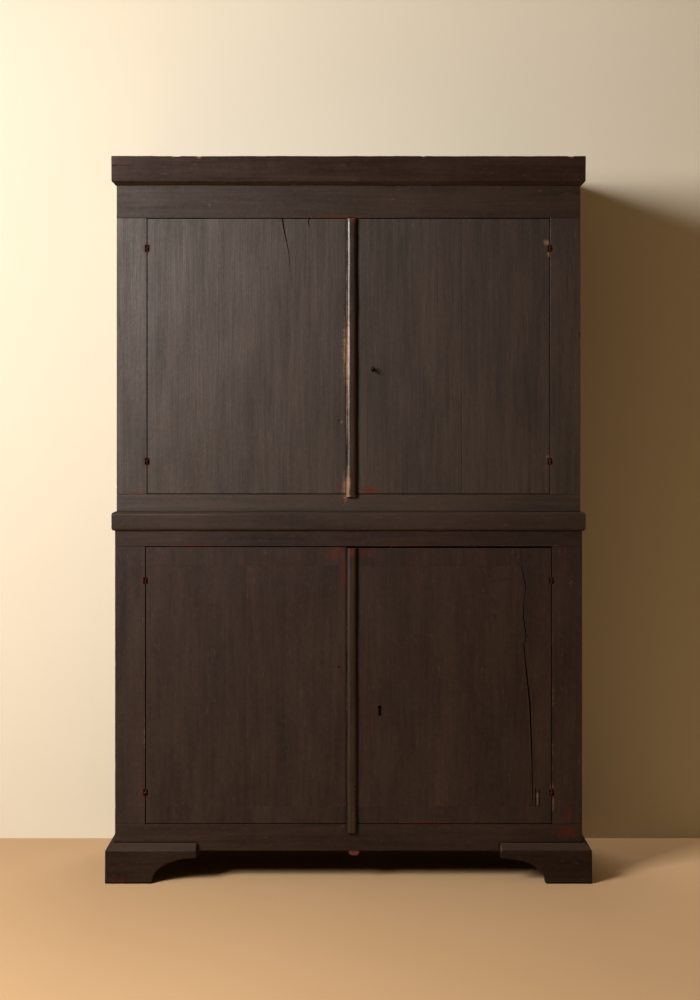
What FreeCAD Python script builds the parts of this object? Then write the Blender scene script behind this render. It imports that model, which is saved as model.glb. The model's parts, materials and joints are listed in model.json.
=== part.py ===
"""Two-stage painted press cupboard with two pairs of flush doors, standing on bracket feet.

The front faces -Y, +X is to the right and +Z is up. The origin is on the floor, in the middle of the
whole outline. All sizes are in millimetres.
"""

import FreeCAD
import Part
import Sketcher

import os
import re

SIZES = {
    # the two cases
    "lower_width": 1288,
    "case_depth": 479,
    "upper_set_in": 4,
    "side_thick": 22,
    "stile_width": 83,
    # heights, from the floor up
    "rail_underside": 86,
    "bottom_rail_height": 73,
    "lower_opening_height": 766,
    "lower_top_rail_height": 43,
    "dust_board_thick": 20,
    "upper_bottom_rail_height": 80,
    "upper_opening_height": 763,
    "frieze_height": 149,
    "top_board_thick": 20,
    # boards inside
    "board_thick": 22,
    "stop_height": 8,
    "housing_depth": 8,
    "back_thick": 14,
    "back_rebate": 12,
    "back_tongue": 6,
    "back_tongue_thick": 5,
    "lower_shelf_height": 389,
    "upper_shelf_low_height": 250,
    "upper_shelf_high_drop": 251,
    "cleat_size": 20,
    # joints of the front frame
    "tenon_length": 18,
    "tenon_thick": 8,
    "tenon_shoulder": 16,
    "joint_clearance": 0.2,
    # waist moulding and cornice
    "waist_height": 51,
    "waist_projection": 9,
    "waist_radius": 8,
    "waist_lip_clearance": 0.5,
    "cornice_height": 79,
    "cornice_projection": 13,
    "cornice_splay": 10,
    # bracket feet
    "foot_projection": 25,
    "bracket_height": 108,
    "bracket_splay_height": 17,
    "bracket_ledge": 9,
    "bracket_length": 252,
    "bracket_base": 130,
    "side_bracket_length": 205,
    "side_bracket_base": 112,
    "arch_rise": 70,
    "arch_upright": 8,
    "corner_block": 62,
    "peg_width": 28,
    "peg_depth": 18,
    "peg_drop": 14,
    "peg_offset": 15,
    "peg_radius": 6,
    # doors
    "door_thick": 22,
    "door_proud": 0.5,
    "stop_gap": 2.5,
    "hinge_gap": 2.4,
    "end_gap": 2.5,
    "lower_right_drop": 2.5,
    "meeting_offset": 6,
    "meeting_gap": 2.4,
    "upper_left_joint": 197,
    "upper_right_joint": 243,
    "lower_left_joint": 275,
    "lower_right_joint_top": 83,
    "lower_right_joint_bottom": 53,
    "clamp_top": 50,
    "clamp_bottom": 46,
    "clamp_tongue": 12,
    "clamp_tongue_thick": 8,
    "ledge_height": 62,
    "ledge_thick": 16,
    "ledge_inset": 110,
    "ledge_hinge_margin": 34,
    "ledge_closing_margin": 84,
    "strip_width": 30,
    "strip_thick": 12,
    "strip_radius": 7,
    "upper_strip_overlap": 7,
    "lower_strip_overlap": 23,
    # loop hinges
    "wire_radius": 1.6,
    "loop_clearance": 0.35,
    "axis_proud": 1,
    "staple_half": 7,
    "staple_bend": 3,
    "hinge_recess": 6.6,
    "hole_clearance": 0.15,
    "upper_hinge_top": 84,
    "upper_hinge_bottom": 91,
    "lower_hinge_top": 95,
    "lower_hinge_bottom": 87,
    # locks and key
    "upper_key_side": 67,
    "upper_key_height": 345,
    "lower_key_side": 87,
    "lower_key_height": 319,
    "keyhole_radius": 5.5,
    "keyhole_slot": 8,
    "keyhole_length": 20,
    "lock_depth": 15,
    "lock_wall": 2,
    "lock_inset": 3,
    "lock_below": 22,
    "lock_above": 28,
    "lock_tail": 38,
    "lock_bolt_setback": 3,
    "lock_bolt_thick": 6,
    "lock_bolt_height": 14,
    "lock_bolt_rise": 7,
    "talon_start": 10,
    "talon_width": 16,
    "talon_depth": 10,
    "slide_clearance": 0.3,
    "key_radius": 3,
    "key_reach": 27,
    "key_bow_radius": 6,
    "key_bow_wire": 2,
    "key_collar_radius": 5,
    "key_collar_length": 3,
    "key_bit_reach": 14,
    "key_bit_thick": 2.6,
    "key_bit_length": 8,
    # slide bolts of the left doors
    "bolt_width": 10,
    "bolt_thick": 5,
    "bolt_length": 120,
    "bolt_top_gap": 2,
    "bolt_plate_width": 28,
    "bolt_plate_height": 92,
    "bolt_plate_thick": 3,
    "bolt_plate_inset": 14,
    "bolt_edge_distance": 38,
    "bolt_bridge": 12,
    "bolt_bridge_wall": 2,
    "bolt_knob_radius": 4.5,
    "bolt_knob_length": 12,
}

# places that follow from the sizes
PLACES = {
    "frame_thick": "door_thick - door_proud + stop_gap",
    "foot_front": "0 - (case_depth + foot_projection) / 2",
    "case_back": "(case_depth + foot_projection) / 2",
    "lower_front": "foot_front + foot_projection",
    "upper_front": "lower_front + upper_set_in",
    "lower_half": "lower_width / 2",
    "upper_half": "lower_half - upper_set_in",
    "foot_half": "lower_half + foot_projection",
    "lower_inside": "lower_half - side_thick",
    "upper_inside": "upper_half - side_thick",
    "lower_opening": "lower_half - stile_width",
    "upper_opening": "upper_half - stile_width",
    "lower_frame_back": "lower_front + frame_thick",
    "upper_frame_back": "upper_front + frame_thick",
    "back_inside": "case_back - back_thick",
    "lower_base": "rail_underside",
    "lower_sill": "rail_underside + bottom_rail_height",
    "lower_lintel": "lower_sill + lower_opening_height",
    "lower_frame_top": "lower_lintel + lower_top_rail_height",
    "upper_base": "lower_frame_top + dust_board_thick",
    "upper_sill": "upper_base + upper_bottom_rail_height",
    "upper_lintel": "upper_sill + upper_opening_height",
    "upper_frame_top": "upper_lintel + frieze_height",
    "overall_top": "upper_frame_top + top_board_thick",
    "lower_shelf_level": "lower_sill + lower_shelf_height",
    "upper_shelf_low_level": "upper_sill + upper_shelf_low_height",
    "upper_shelf_high_level": "upper_lintel - upper_shelf_high_drop",
    "lower_key_level": "lower_sill + lower_key_height",
    "upper_key_level": "upper_sill + upper_key_height",
    "lower_door_front": "lower_front - door_proud",
    "upper_door_front": "upper_front - door_proud",
    "lower_door_back": "lower_door_front + door_thick",
    "upper_door_back": "upper_door_front + door_thick",
    "lower_axis_side": "lower_opening - hinge_gap / 2",
    "upper_axis_side": "upper_opening - hinge_gap / 2",
    "lower_axis_front": "lower_door_front - axis_proud",
    "upper_axis_front": "upper_door_front - axis_proud",
    "left_closing_edge": "0 - meeting_offset - meeting_gap / 2",
    "right_closing_edge": "meeting_offset - meeting_gap / 2",
    "ring_radius": "2 * wire_radius + loop_clearance",
    "recess_half": "staple_half + wire_radius + 0.6",
    "diagonal": "sqrt(0.5)",
}

WORD = re.compile(r"[a-z][a-z0-9_]*")

doc = FreeCAD.newDocument("press_cupboard")
sheet = doc.addObject("Spreadsheet::Sheet", "sizes")
for row, (alias, number) in enumerate(SIZES.items(), start=1):
    sheet.set(f"A{row}", alias)
    sheet.set(f"B{row}", str(number))
    sheet.setAlias(f"B{row}", alias)
doc.recompute()

probe = doc.addObject("App::FeaturePython", "probe")
probe.addProperty("App::PropertyFloat", "reading")

nodes = []


def bound(formula):
    """A formula in the sheet's words, with every place written out in sizes."""

    def swap(match):
        word = match.group()
        if word in SIZES:
            return "sizes." + word
        if word in PLACES:
            return "(" + bound(PLACES[word]) + ")"
        return word

    return WORD.sub(swap, str(formula))


def value(formula):
    """The present number of a formula."""
    probe.setExpression("reading", bound(formula))
    probe.recompute()
    return probe.reading


def bind(piece, **formulas):
    """Ties properties of a piece to formulas; x, y and z stand for its place."""
    for name, formula in formulas.items():
        path = "Placement.Base." + name if name in ("x", "y", "z") else name
        piece.setExpression(path, bound(formula))


def node(label, piece):
    """Names a finished piece and keeps it for writing."""
    piece.Label = label
    nodes.append(piece)
    return piece


def box(name, across, deep, high):
    """A straight board between two limits along each axis."""
    piece = doc.addObject("Part::Box", name)
    for length, place, (low, top) in zip(
        ("Length", "Width", "Height"), "xyz", (across, deep, high), strict=True
    ):
        bind(piece, **{length: f"({top}) - ({low})", place: low})
    return piece


def rod(name, place, direction, radius, length):
    """A round bar from a place along a direction."""
    piece = doc.addObject("Part::Cylinder", name)
    turn = FreeCAD.Rotation(FreeCAD.Vector(0, 0, 1), FreeCAD.Vector(*direction))
    piece.Placement = FreeCAD.Placement(FreeCAD.Vector(), turn)
    bind(piece, Radius=radius, Height=length, x=place[0], y=place[1], z=place[2])
    return piece


def ring(name, place, axes, radius, wire, sweep=360):
    """A round wire bent to a radius about a place; axes are the start, the way it goes and the axle."""
    piece = doc.addObject("Part::Torus", name)
    start, onward, axle = (FreeCAD.Vector(*axis) for axis in axes)
    turn = FreeCAD.Rotation(start, onward, axle, "XYZ")
    piece.Placement = FreeCAD.Placement(FreeCAD.Vector(), turn)
    piece.Angle3 = sweep
    bind(piece, Radius1=radius, Radius2=wire, x=place[0], y=place[1], z=place[2])
    return piece


def fused(name, pieces):
    """Several shapes grown together."""
    piece = doc.addObject("Part::MultiFuse", name)
    piece.Shapes = pieces
    return piece


def cut(name, base, tools):
    """A shape with others taken out of it."""
    piece = doc.addObject("Part::Cut", name)
    piece.Base = base
    piece.Tool = tools[0] if len(tools) == 1 else fused(name + "_tools", tools)
    return piece


def group(name, pieces):
    """Separate solids that share a node."""
    piece = doc.addObject("Part::Compound", name)
    piece.Links = pieces
    return piece


def mirrored(name, source):
    """The same piece on the other side of the middle plane."""
    piece = doc.addObject("Part::Mirroring", name)
    piece.Source = source
    piece.Normal = FreeCAD.Vector(1, 0, 0)
    return piece


def outline(body, role, corners, offset=None):
    """A closed sketch of straight sides on one of a body's planes, each corner bound to two formulas."""
    sketch = body.newObject("Sketcher::SketchObject", body.Name + "_outline")
    plane = next(p for p in body.Origin.OriginFeatures if p.Role == role)
    sketch.AttachmentSupport = [(plane, "")]
    sketch.MapMode = "FlatFace"
    if offset is not None:
        sketch.setExpression("AttachmentOffset.Base.z", bound(offset))
    points = [FreeCAD.Vector(value(u), value(v), 0) for u, v in corners]
    for start, end in zip(points, points[1:] + points[:1], strict=True):
        sketch.addGeometry(Part.LineSegment(start, end), False)
    for side in range(len(points)):
        after = (side + 1) % len(points)
        sketch.addConstraint(Sketcher.Constraint("Coincident", side, 2, after, 1))
    for side, (point, formulas) in enumerate(zip(points, corners, strict=True)):
        for kind, amount, formula in zip(
            ("DistanceX", "DistanceY"), (point.x, point.y), formulas, strict=True
        ):
            rule = sketch.addConstraint(Sketcher.Constraint(kind, -1, 1, side, 1, amount))
            sketch.setExpression(f"Constraints[{rule}]", bound(formula))
    return sketch


def profile_bar(name, role, corners, length):
    """A body whose section runs straight for a length."""
    body = doc.addObject("PartDesign::Body", name)
    sketch = outline(body, role, corners)
    pad = body.newObject("PartDesign::Pad", name + "_pad")
    pad.Profile = sketch
    bind(pad, Length=length)
    sketch.Visibility = False
    doc.recompute()
    return body


def rounded(body, radius, chosen):
    """Rounds the edges of a body that a test on their two end points picks."""
    base = body.Tip
    names = [
        f"Edge{number}"
        for number, edge in enumerate(base.Shape.Edges, start=1)
        if len(edge.Vertexes) == 2 and chosen(*(corner.Point for corner in edge.Vertexes))
    ]
    fillet = body.newObject("PartDesign::Fillet", body.Name + "_round")
    fillet.Base = (base, names)
    bind(fillet, Radius=radius)
    doc.recompute()
    return body


def mitred(body, corners):
    """Cuts a body's end across, all the way through its height."""
    before = body.Shape.Volume
    pocket_sketch = outline(body, "XY_Plane", corners)
    pocket = body.newObject("PartDesign::Pocket", body.Name + "_mitre")
    pocket.Profile = pocket_sketch
    pocket.Type = "ThroughAll"
    pocket.Reversed = True
    doc.recompute()
    if not body.Shape.Volume < before:
        raise ValueError(body.Name + ": the mitre cuts nothing")
    return body


def near(a, b):
    """Whether two lengths agree."""
    return abs(a - b) < 0.001


def placed(body, x, y, z, turn=0):
    """Puts a body in its place, turned about the upright."""
    body.Placement = FreeCAD.Placement(
        FreeCAD.Vector(), FreeCAD.Rotation(FreeCAD.Vector(0, 0, 1), turn)
    )
    bind(body, x=x, y=y, z=z)
    return body


def case_side(stage, height):
    """One side board, with a rebate for the back and a groove for the bottom board."""
    run = f"case_back - {stage}_frame_back"
    corners = (
        ("0", "0"),
        ("side_thick", "0"),
        ("side_thick", f"{run} - back_thick"),
        ("side_thick - back_rebate", f"{run} - back_thick"),
        ("side_thick - back_rebate", run),
        ("0", run),
    )
    board = profile_bar(f"{stage}_side_board", "XY_Plane", corners, height)
    placed(board, f"0 - {stage}_half", f"{stage}_frame_back", f"{stage}_base")
    bottom = f"{stage}_sill + stop_height - board_thick"
    groove = box(
        f"{stage}_groove",
        (f"0 - {stage}_inside - housing_depth - joint_clearance", f"1 - {stage}_inside"),
        (f"{stage}_frame_back - 1", "back_inside"),
        (f"{bottom} - joint_clearance", f"{stage}_sill + stop_height + joint_clearance"),
    )
    left = node(f"{stage}_side_left", cut(f"{stage}_side_left", board, [groove]))
    node(f"{stage}_side_right", mirrored(f"{stage}_side_right", left))


def bottom_board(stage):
    """The board that the doors close against, housed in both sides."""
    reach = f"{stage}_inside + housing_depth"
    board = box(
        f"{stage}_bottom",
        (f"0 - {reach}", reach),
        (f"{stage}_frame_back", "back_inside"),
        (f"{stage}_sill + stop_height - board_thick", f"{stage}_sill + stop_height"),
    )
    node(f"{stage}_bottom_board", board)


def back_boards(stage, height, count=5):
    """Upright boards with tongues and grooves, let into the rebates of the sides."""
    width = f"2 * ({stage}_inside + back_rebate) / {count}"
    low = "(back_thick - back_tongue_thick) / 2"
    high = "(back_thick + back_tongue_thick) / 2"
    boards = []
    for number in range(count):
        corners = [("0", "0"), (width, "0")]
        if number < count - 1:
            corners.append((width, low))
            corners.append((f"{width} + back_tongue", low))
            corners.append((f"{width} + back_tongue", high))
            corners.append((width, high))
        corners.append((width, "back_thick"))
        corners.append(("0", "back_thick"))
        if number > 0:
            corners.append(("0", f"{high} + joint_clearance"))
            corners.append(("back_tongue + 0.5", f"{high} + joint_clearance"))
            corners.append(("back_tongue + 0.5", f"{low} - joint_clearance"))
            corners.append(("0", f"{low} - joint_clearance"))
        board = profile_bar(f"{stage}_back_{number}", "XY_Plane", corners, height)
        left = f"{number} * {width} - {stage}_inside - back_rebate"
        boards.append(placed(board, left, "back_inside", f"{stage}_base"))
    node(f"{stage}_back_boards", group(f"{stage}_back_boards", boards))


def hinge_levels(stage):
    """The heights of a stage's two hinges."""
    return f"{stage}_sill + {stage}_hinge_bottom", f"{stage}_lintel - {stage}_hinge_top"


def hinge_recess(name, stage, level):
    """The round hollow that a left hinge sits in, about its axis."""
    place = (f"0 - {stage}_axis_side", f"{stage}_axis_front", f"{level} - recess_half")
    return rod(name, place, (0, 0, 1), "hinge_recess", "2 * recess_half")


def eye_shank(name, stage, level, radius, extra):
    """The straight shank of a left frame eye, driven at a slant into the stile."""
    place = (
        f"0 - {stage}_axis_side - ring_radius * diagonal",
        f"{stage}_axis_front + ring_radius * diagonal",
        level,
    )
    length = f"(frame_thick + door_proud + axis_proud) / diagonal - ring_radius + 2 + {extra}"
    return rod(name, place, (-1, 1, 0), radius, length)


def staple_legs(name, stage, level, radius, extra):
    """The two legs of a left door staple, driven at a slant into the door's edge."""
    legs = []
    for side in (-1, 1):
        place = (
            f"staple_bend * diagonal - {stage}_axis_side",
            f"{stage}_axis_front + staple_bend * diagonal",
            f"{level} + {side} * staple_half",
        )
        length = f"(door_thick + axis_proud) / diagonal - staple_bend + 2 + {extra}"
        legs.append(rod(f"{name}_{side + 1}", place, (1, 1, 0), radius, length))
    return legs


def staple(name, stage, level):
    """A bent wire: an upright bar on the hinge axis, two bends and two legs."""
    bar_half = "(staple_half - staple_bend)"
    axis = (f"0 - {stage}_axis_side", f"{stage}_axis_front")
    bar = rod(
        name + "_bar", (*axis, f"{level} - {bar_half}"), (0, 0, 1), "wire_radius", f"2 * {bar_half}"
    )
    pieces = [bar]
    pieces.extend(staple_legs(name + "_leg", stage, level, "wire_radius", "0"))
    for side in (-1, 1):
        place = (
            f"staple_bend * diagonal - {stage}_axis_side",
            f"{stage}_axis_front + staple_bend * diagonal",
            f"{level} + {side} * {bar_half}",
        )
        axes = ((-1, -1, 0), (0, 0, side), (-side, side, 0))
        pieces.append(ring(f"{name}_bend_{side + 1}", place, axes, "staple_bend", "wire_radius", 90))
    return fused(name, pieces)


def stiles(stage):
    """The front stiles, tenoned into the rails above and below, with room for the hinges."""
    left = f"0 - {stage}_half"
    right = f"0 - {stage}_opening"
    front = f"{stage}_front"
    post = box(
        f"{stage}_post",
        (left, right),
        (front, f"{stage}_frame_back"),
        (f"{stage}_sill", f"{stage}_lintel"),
    )
    middle = f"{front} + frame_thick / 2"
    tenons = box(
        f"{stage}_tenons",
        (f"{left} + tenon_shoulder", f"{right} - tenon_shoulder"),
        (f"{middle} - tenon_thick / 2", f"{middle} + tenon_thick / 2"),
        (f"{stage}_sill - tenon_length", f"{stage}_lintel + tenon_length"),
    )
    tools = []
    for number, level in enumerate(hinge_levels(stage)):
        tools.append(hinge_recess(f"{stage}_stile_recess_{number}", stage, level))
        hole = "wire_radius + hole_clearance"
        tools.append(eye_shank(f"{stage}_stile_hole_{number}", stage, level, hole, "4"))
    joined = fused(f"{stage}_stile_blank", [post, tenons])
    stile = node(f"{stage}_stile_left", cut(f"{stage}_stile_left", joined, tools))
    node(f"{stage}_stile_right", mirrored(f"{stage}_stile_right", stile))


def rail(label, stage, low, high, sill):
    """A front rail across the whole case, mortised for both stiles at its top or underside."""
    board = box(
        label + "_board",
        (f"0 - {stage}_half", f"{stage}_half"),
        (f"{stage}_front", f"{stage}_frame_back"),
        (low, high),
    )
    middle = f"{stage}_front + frame_thick / 2"
    deep = (
        f"{middle} - tenon_thick / 2 - joint_clearance",
        f"{middle} + tenon_thick / 2 + joint_clearance",
    )
    edge = high if sill else low
    depth = "(tenon_length + 1)"
    tall = (f"{edge} - {depth}", f"{edge} + 1") if sill else (f"{edge} - 1", f"{edge} + {depth}")
    near_side = f"{stage}_half - tenon_shoulder + joint_clearance"
    far_side = f"{stage}_opening + tenon_shoulder - joint_clearance"
    mortises = [
        box(label + "_mortise_left", (f"0 - ({near_side})", f"0 - ({far_side})"), deep, tall),
        box(label + "_mortise_right", (far_side, near_side), deep, tall),
    ]
    node(label, cut(label, board, mortises))


def shelf(label, stage, level):
    """A loose shelf between the sides."""
    board = box(
        label,
        (f"0.3 - {stage}_inside", f"{stage}_inside - 0.3"),
        (f"{stage}_frame_back", "back_inside"),
        (level, f"{level} + board_thick"),
    )
    node(label, board)


def cleats():
    """Bars on the sides that carry the shelves."""
    bars = []
    for stage, level in (
        ("lower", "lower_shelf_level"),
        ("upper", "upper_shelf_low_level"),
        ("upper", "upper_shelf_high_level"),
    ):
        bar = box(
            f"cleat_{level}",
            (f"0 - {stage}_inside", f"cleat_size - {stage}_inside"),
            (f"{stage}_frame_back + 20", "back_inside"),
            (f"{level} - cleat_size", level),
        )
        bars.append(bar)
        bars.append(mirrored(f"cleat_right_{level}", bar))
    node("shelf_cleats", group("shelf_cleats", bars))


def moulding(name, corners, length, depth, both_ends):
    """A moulding with one or two mitred ends, its outer face on the body's own zero plane."""
    body = profile_bar(name, "YZ_Plane", corners, length)
    if name.startswith("waist"):
        top = value("waist_height")
        rounded(
            body,
            "waist_radius",
            lambda a, b: near(a.y + b.y, 0) and near(a.z, b.z) and (near(a.z, 0) or near(a.z, top)),
        )
    reach = f"({depth} + 2)"
    mitred(body, (("-2", "-2"), (reach, reach), ("-2", reach)))
    if both_ends:
        far = f"{length} + 2"
        inner = f"{length} - {reach}"
        mitred(body, ((far, "-2"), (far, reach), (inner, reach)))
    return body


def waist():
    """The rounded moulding on the edges of the dust board, standing as a lip round the upper case."""
    lip = "waist_projection + upper_set_in - waist_lip_clearance"
    corners = (
        ("0", "0"),
        ("waist_projection", "0"),
        ("waist_projection", "dust_board_thick"),
        (lip, "dust_board_thick"),
        (lip, "waist_height"),
        ("0", "waist_height"),
    )
    half = "lower_half + waist_projection"
    front_line = "lower_front - waist_projection"
    front = moulding("waist_front", corners, f"2 * ({half})", lip, True)
    node("waist_moulding_front", placed(front, f"0 - ({half})", front_line, "lower_frame_top"))
    start = f"{front_line} + joint_clearance"
    right = moulding("waist_right", corners, f"case_back - ({start})", lip, False)
    node("waist_moulding_right", placed(right, half, start, "lower_frame_top", 90))
    node("waist_moulding_left", mirrored("waist_moulding_left", right))


def cornice():
    """The flat cornice with a splayed lower edge, on the front and both sides."""
    corners = (
        ("cornice_projection", "0"),
        ("cornice_projection", "cornice_height"),
        ("0", "cornice_height"),
        ("0", "cornice_splay"),
        ("cornice_splay", "0"),
    )
    half = "upper_half + cornice_projection"
    front_line = "upper_front - cornice_projection"
    base = "overall_top - cornice_height"
    front = moulding("cornice_face", corners, f"2 * ({half})", "cornice_projection", True)
    node("cornice_front", placed(front, f"0 - ({half})", front_line, base))
    start = f"{front_line} + joint_clearance"
    run = f"case_back - ({start})"
    right = moulding("cornice_return", corners, run, "cornice_projection", False)
    node("cornice_right", placed(right, half, start, base, 90))
    node("cornice_left", mirrored("cornice_left", right))


def arch(name, length, base):
    """The hollow under a bracket: an oval above a short upright, drawn along the bracket's own X."""
    oval = doc.addObject("Part::Ellipse", name + "_oval")
    turn = FreeCAD.Rotation(FreeCAD.Vector(1, 0, 0), 90)
    oval.Placement = FreeCAD.Placement(FreeCAD.Vector(), turn)
    span = f"{length} - {base}"
    bind(oval, MajorRadius=span, MinorRadius="arch_rise - arch_upright")
    bind(oval, x=length, y="foot_projection + 1", z="arch_upright")
    hollow = doc.addObject("Part::Extrusion", name + "_hollow")
    hollow.Base = oval
    hollow.DirMode = "Custom"
    hollow.Dir = FreeCAD.Vector(0, -1, 0)
    hollow.Solid = True
    bind(hollow, LengthFwd="foot_projection + 2")
    foot = box(
        name + "_upright",
        (base, f"{length} + 1"),
        ("-1", "foot_projection + 1"),
        ("-1", "arch_upright"),
    )
    return [hollow, foot]


def bracket(name, length, base, mitre):
    """One board of a bracket foot, with a splayed upper arris, an arched end and a mitred corner."""
    corners = (
        ("0", "0"),
        ("foot_projection", "0"),
        ("foot_projection", "bracket_height"),
        ("foot_projection - bracket_ledge", "bracket_height"),
        ("0", "bracket_height - bracket_splay_height"),
    )
    board = profile_bar(name + "_board", "YZ_Plane", corners, length)
    if mitre:
        reach = "(foot_projection + 2)"
        mitred(board, (("-2", "-2"), (reach, reach), ("-2", reach)))
    return cut(name, board, arch(name, length, base))


def feet():
    """Bracket feet on the front corners, wrapped round to the sides, and side brackets at the rear."""
    front = bracket("front_bracket", "bracket_length", "bracket_base", True)
    node("front_bracket_left", placed(front, "0 - foot_half", "foot_front", "0"))
    node("front_bracket_right", mirrored("front_bracket_right", front))
    side = bracket("side_bracket", "side_bracket_length", "side_bracket_base", True)
    node("side_bracket_front_right", placed(side, "foot_half", "foot_front", "0", 90))
    node("side_bracket_front_left", mirrored("side_bracket_front_left", side))
    rear = bracket("rear_bracket", "side_bracket_length", "side_bracket_base", False)
    node("side_bracket_rear_left", placed(rear, "0 - foot_half", "case_back", "0", -90))
    node("side_bracket_rear_right", mirrored("side_bracket_rear_right", rear))
    blocks = []
    for name, low in (("front", "lower_front"), ("rear", "case_back - corner_block")):
        block = box(
            f"block_{name}",
            ("0 - lower_half", "corner_block - lower_half"),
            (low, f"{low} + corner_block"),
            ("0", "rail_underside"),
        )
        blocks.append(block)
        blocks.append(mirrored(f"block_{name}_right", block))
    node("foot_corner_blocks", group("foot_corner_blocks", blocks))


def peg():
    """The small wooden tab under the middle of the bottom rail."""
    corners = (
        ("0", "0"),
        ("peg_depth", "0"),
        ("peg_depth", "peg_drop"),
        ("0", "peg_drop"),
    )
    body = profile_bar("peg", "YZ_Plane", corners, "peg_width")
    width = value("peg_width")
    rounded(
        body,
        "peg_radius",
        lambda a, b: near(a.z + b.z, 0) and near(a.x, b.x) and (near(a.x, 0) or near(a.x, width)),
    )
    place = placed(body, "peg_offset - peg_width / 2", "lower_front + 3", "rail_underside - peg_drop")
    node("bottom_peg", place)


def frame_eyes():
    """The eight rings that hang the doors, each on a shank driven into its stile."""
    eyes = []
    upright = ((1, 0, 0), (0, 1, 0), (0, 0, 1))
    for stage in ("lower", "upper"):
        for number, level in enumerate(hinge_levels(stage)):
            name = f"{stage}_eye_{number}"
            place = (f"0 - {stage}_axis_side", f"{stage}_axis_front", level)
            loop = ring(name + "_ring", place, upright, "ring_radius", "wire_radius")
            shank = eye_shank(name + "_shank", stage, level, "wire_radius", "0")
            eye = fused(name, [loop, shank])
            eyes.append(eye)
            eyes.append(mirrored(name + "_right", eye))
    node("frame_hinge_eyes", group("frame_hinge_eyes", eyes))


def keyhole(name, side, level, front):
    """A round hole with a slot below it, through a right door seen from its hinge side."""
    place = (f"0 - {side}", f"{front} - 1", level)
    barrel = rod(name + "_round", place, (0, 1, 0), "keyhole_radius", "door_thick + 2")
    slot = box(
        name + "_slot",
        (f"0 - {side} - keyhole_slot / 2", f"keyhole_slot / 2 - {side}"),
        (f"{front} - 1", f"{front} + door_thick + 1"),
        (f"{level} - keyhole_length", level),
    )
    return [barrel, slot]


def door(stage, hand, joint_top, joint_bottom, top_gap):
    """A flush board door, drawn as a left door; the right one is turned over at the end."""
    name = f"{stage}_{hand}"
    hinge_edge = f"hinge_gap - {stage}_opening"
    closing_edge = f"{hand}_closing_edge"
    front = f"{stage}_door_front"
    back = f"{stage}_door_back"
    low = f"{stage}_sill + end_gap"
    high = f"{stage}_lintel - ({top_gap})"
    across = (hinge_edge, closing_edge)
    middle = f"{front} + door_thick / 2"
    clamped = stage == "lower"
    if clamped:
        panel = box(
            name + "_panel",
            across,
            (front, back),
            (f"{low} + clamp_bottom", f"{high} - clamp_top"),
        )
        tongue = box(
            name + "_tongue",
            across,
            (f"{middle} - clamp_tongue_thick / 2", f"{middle} + clamp_tongue_thick / 2"),
            (f"{low} + clamp_bottom - clamp_tongue", f"{high} - clamp_top + clamp_tongue"),
        )
        panel = fused(name + "_blank", [panel, tongue])
    else:
        panel = box(name + "_panel", across, (front, back), (low, high))
    tools = []
    staples = []
    for number, level in enumerate(hinge_levels(stage)):
        tools.append(hinge_recess(f"{name}_recess_{number}", stage, level))
        hole = "wire_radius + hole_clearance"
        tools.extend(staple_legs(f"{name}_hole_{number}", stage, level, hole, "4"))
        staples.append(staple(f"{name}_staple_{number}", stage, level))
    if hand == "right":
        tools.extend(keyhole(name + "_keyhole", f"{stage}_key_side", f"{stage}_key_level", front))
    worked = cut(name + "_worked", panel, tools)
    wedge = doc.addObject("Part::Wedge", name + "_joint")
    turn = FreeCAD.Rotation(FreeCAD.Vector(1, 0, 0), 90)
    wedge.Placement = FreeCAD.Placement(FreeCAD.Vector(), turn)
    bind(wedge, Xmin="-20", X2min="-20", Xmax=joint_bottom, X2max=joint_top)
    bind(wedge, Zmin="0", Z2min="0", Zmax="door_thick + 20", Z2max="door_thick + 20")
    bind(wedge, Ymin="0", Ymax=f"{high} - ({low})", x=hinge_edge, y=f"{back} + 10", z=low)
    hinge_board = doc.addObject("Part::Common", name + "_hinge_board")
    hinge_board.Base = worked
    hinge_board.Tool = wedge
    closing_board = cut(name + "_closing_board", worked, [wedge])
    pieces = {
        "boards": group(name + "_boards", [hinge_board, closing_board]),
        "staples": group(name + "_staples", staples),
    }
    if clamped:
        pieces["clamps"] = clamps(name, across, front, back, low, high)
    else:
        pieces["ledges"] = ledges(name, hinge_edge, closing_edge, back)
    for kind, piece in pieces.items():
        label = f"{stage}_{hand}_door_{kind}"
        node(label, piece if hand == "left" else mirrored(label, piece))


def clamps(name, across, front, back, low, high):
    """Cross-grained ends of a lower door, grooved for the tongues of its boards."""
    middle = f"{front} + door_thick / 2"
    deep = (
        f"{middle} - clamp_tongue_thick / 2 - joint_clearance",
        f"{middle} + clamp_tongue_thick / 2 + joint_clearance",
    )
    wide = (f"({across[0]}) - 1", f"({across[1]}) + 1")
    lower_edge = f"{low} + clamp_bottom"
    upper_edge = f"{high} - clamp_top"
    ends = []
    for end, tall, groove in (
        ("foot", (low, lower_edge), (f"{lower_edge} - clamp_tongue - 0.5", f"{lower_edge} + 1")),
        ("head", (upper_edge, high), (f"{upper_edge} - 1", f"{upper_edge} + clamp_tongue + 0.5")),
    ):
        bar = box(f"{name}_{end}_bar", across, (front, back), tall)
        slot = box(f"{name}_{end}_slot", wide, deep, groove)
        ends.append(cut(f"{name}_{end}", bar, [slot]))
    return group(name + "_clamps", ends)


def ledges(name, hinge_edge, closing_edge, back):
    """Two battens across the back of an upper door."""
    bars = []
    for end, low in (
        ("foot", "upper_sill + ledge_inset"),
        ("head", "upper_lintel - ledge_inset - ledge_height"),
    ):
        bars.append(
            box(
                f"{name}_{end}_ledge",
                (f"{hinge_edge} + ledge_hinge_margin", f"{closing_edge} - ledge_closing_margin"),
                (back, f"{back} + ledge_thick"),
                (low, f"{low} + ledge_height"),
            )
        )
    return group(name + "_ledges", bars)


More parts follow.
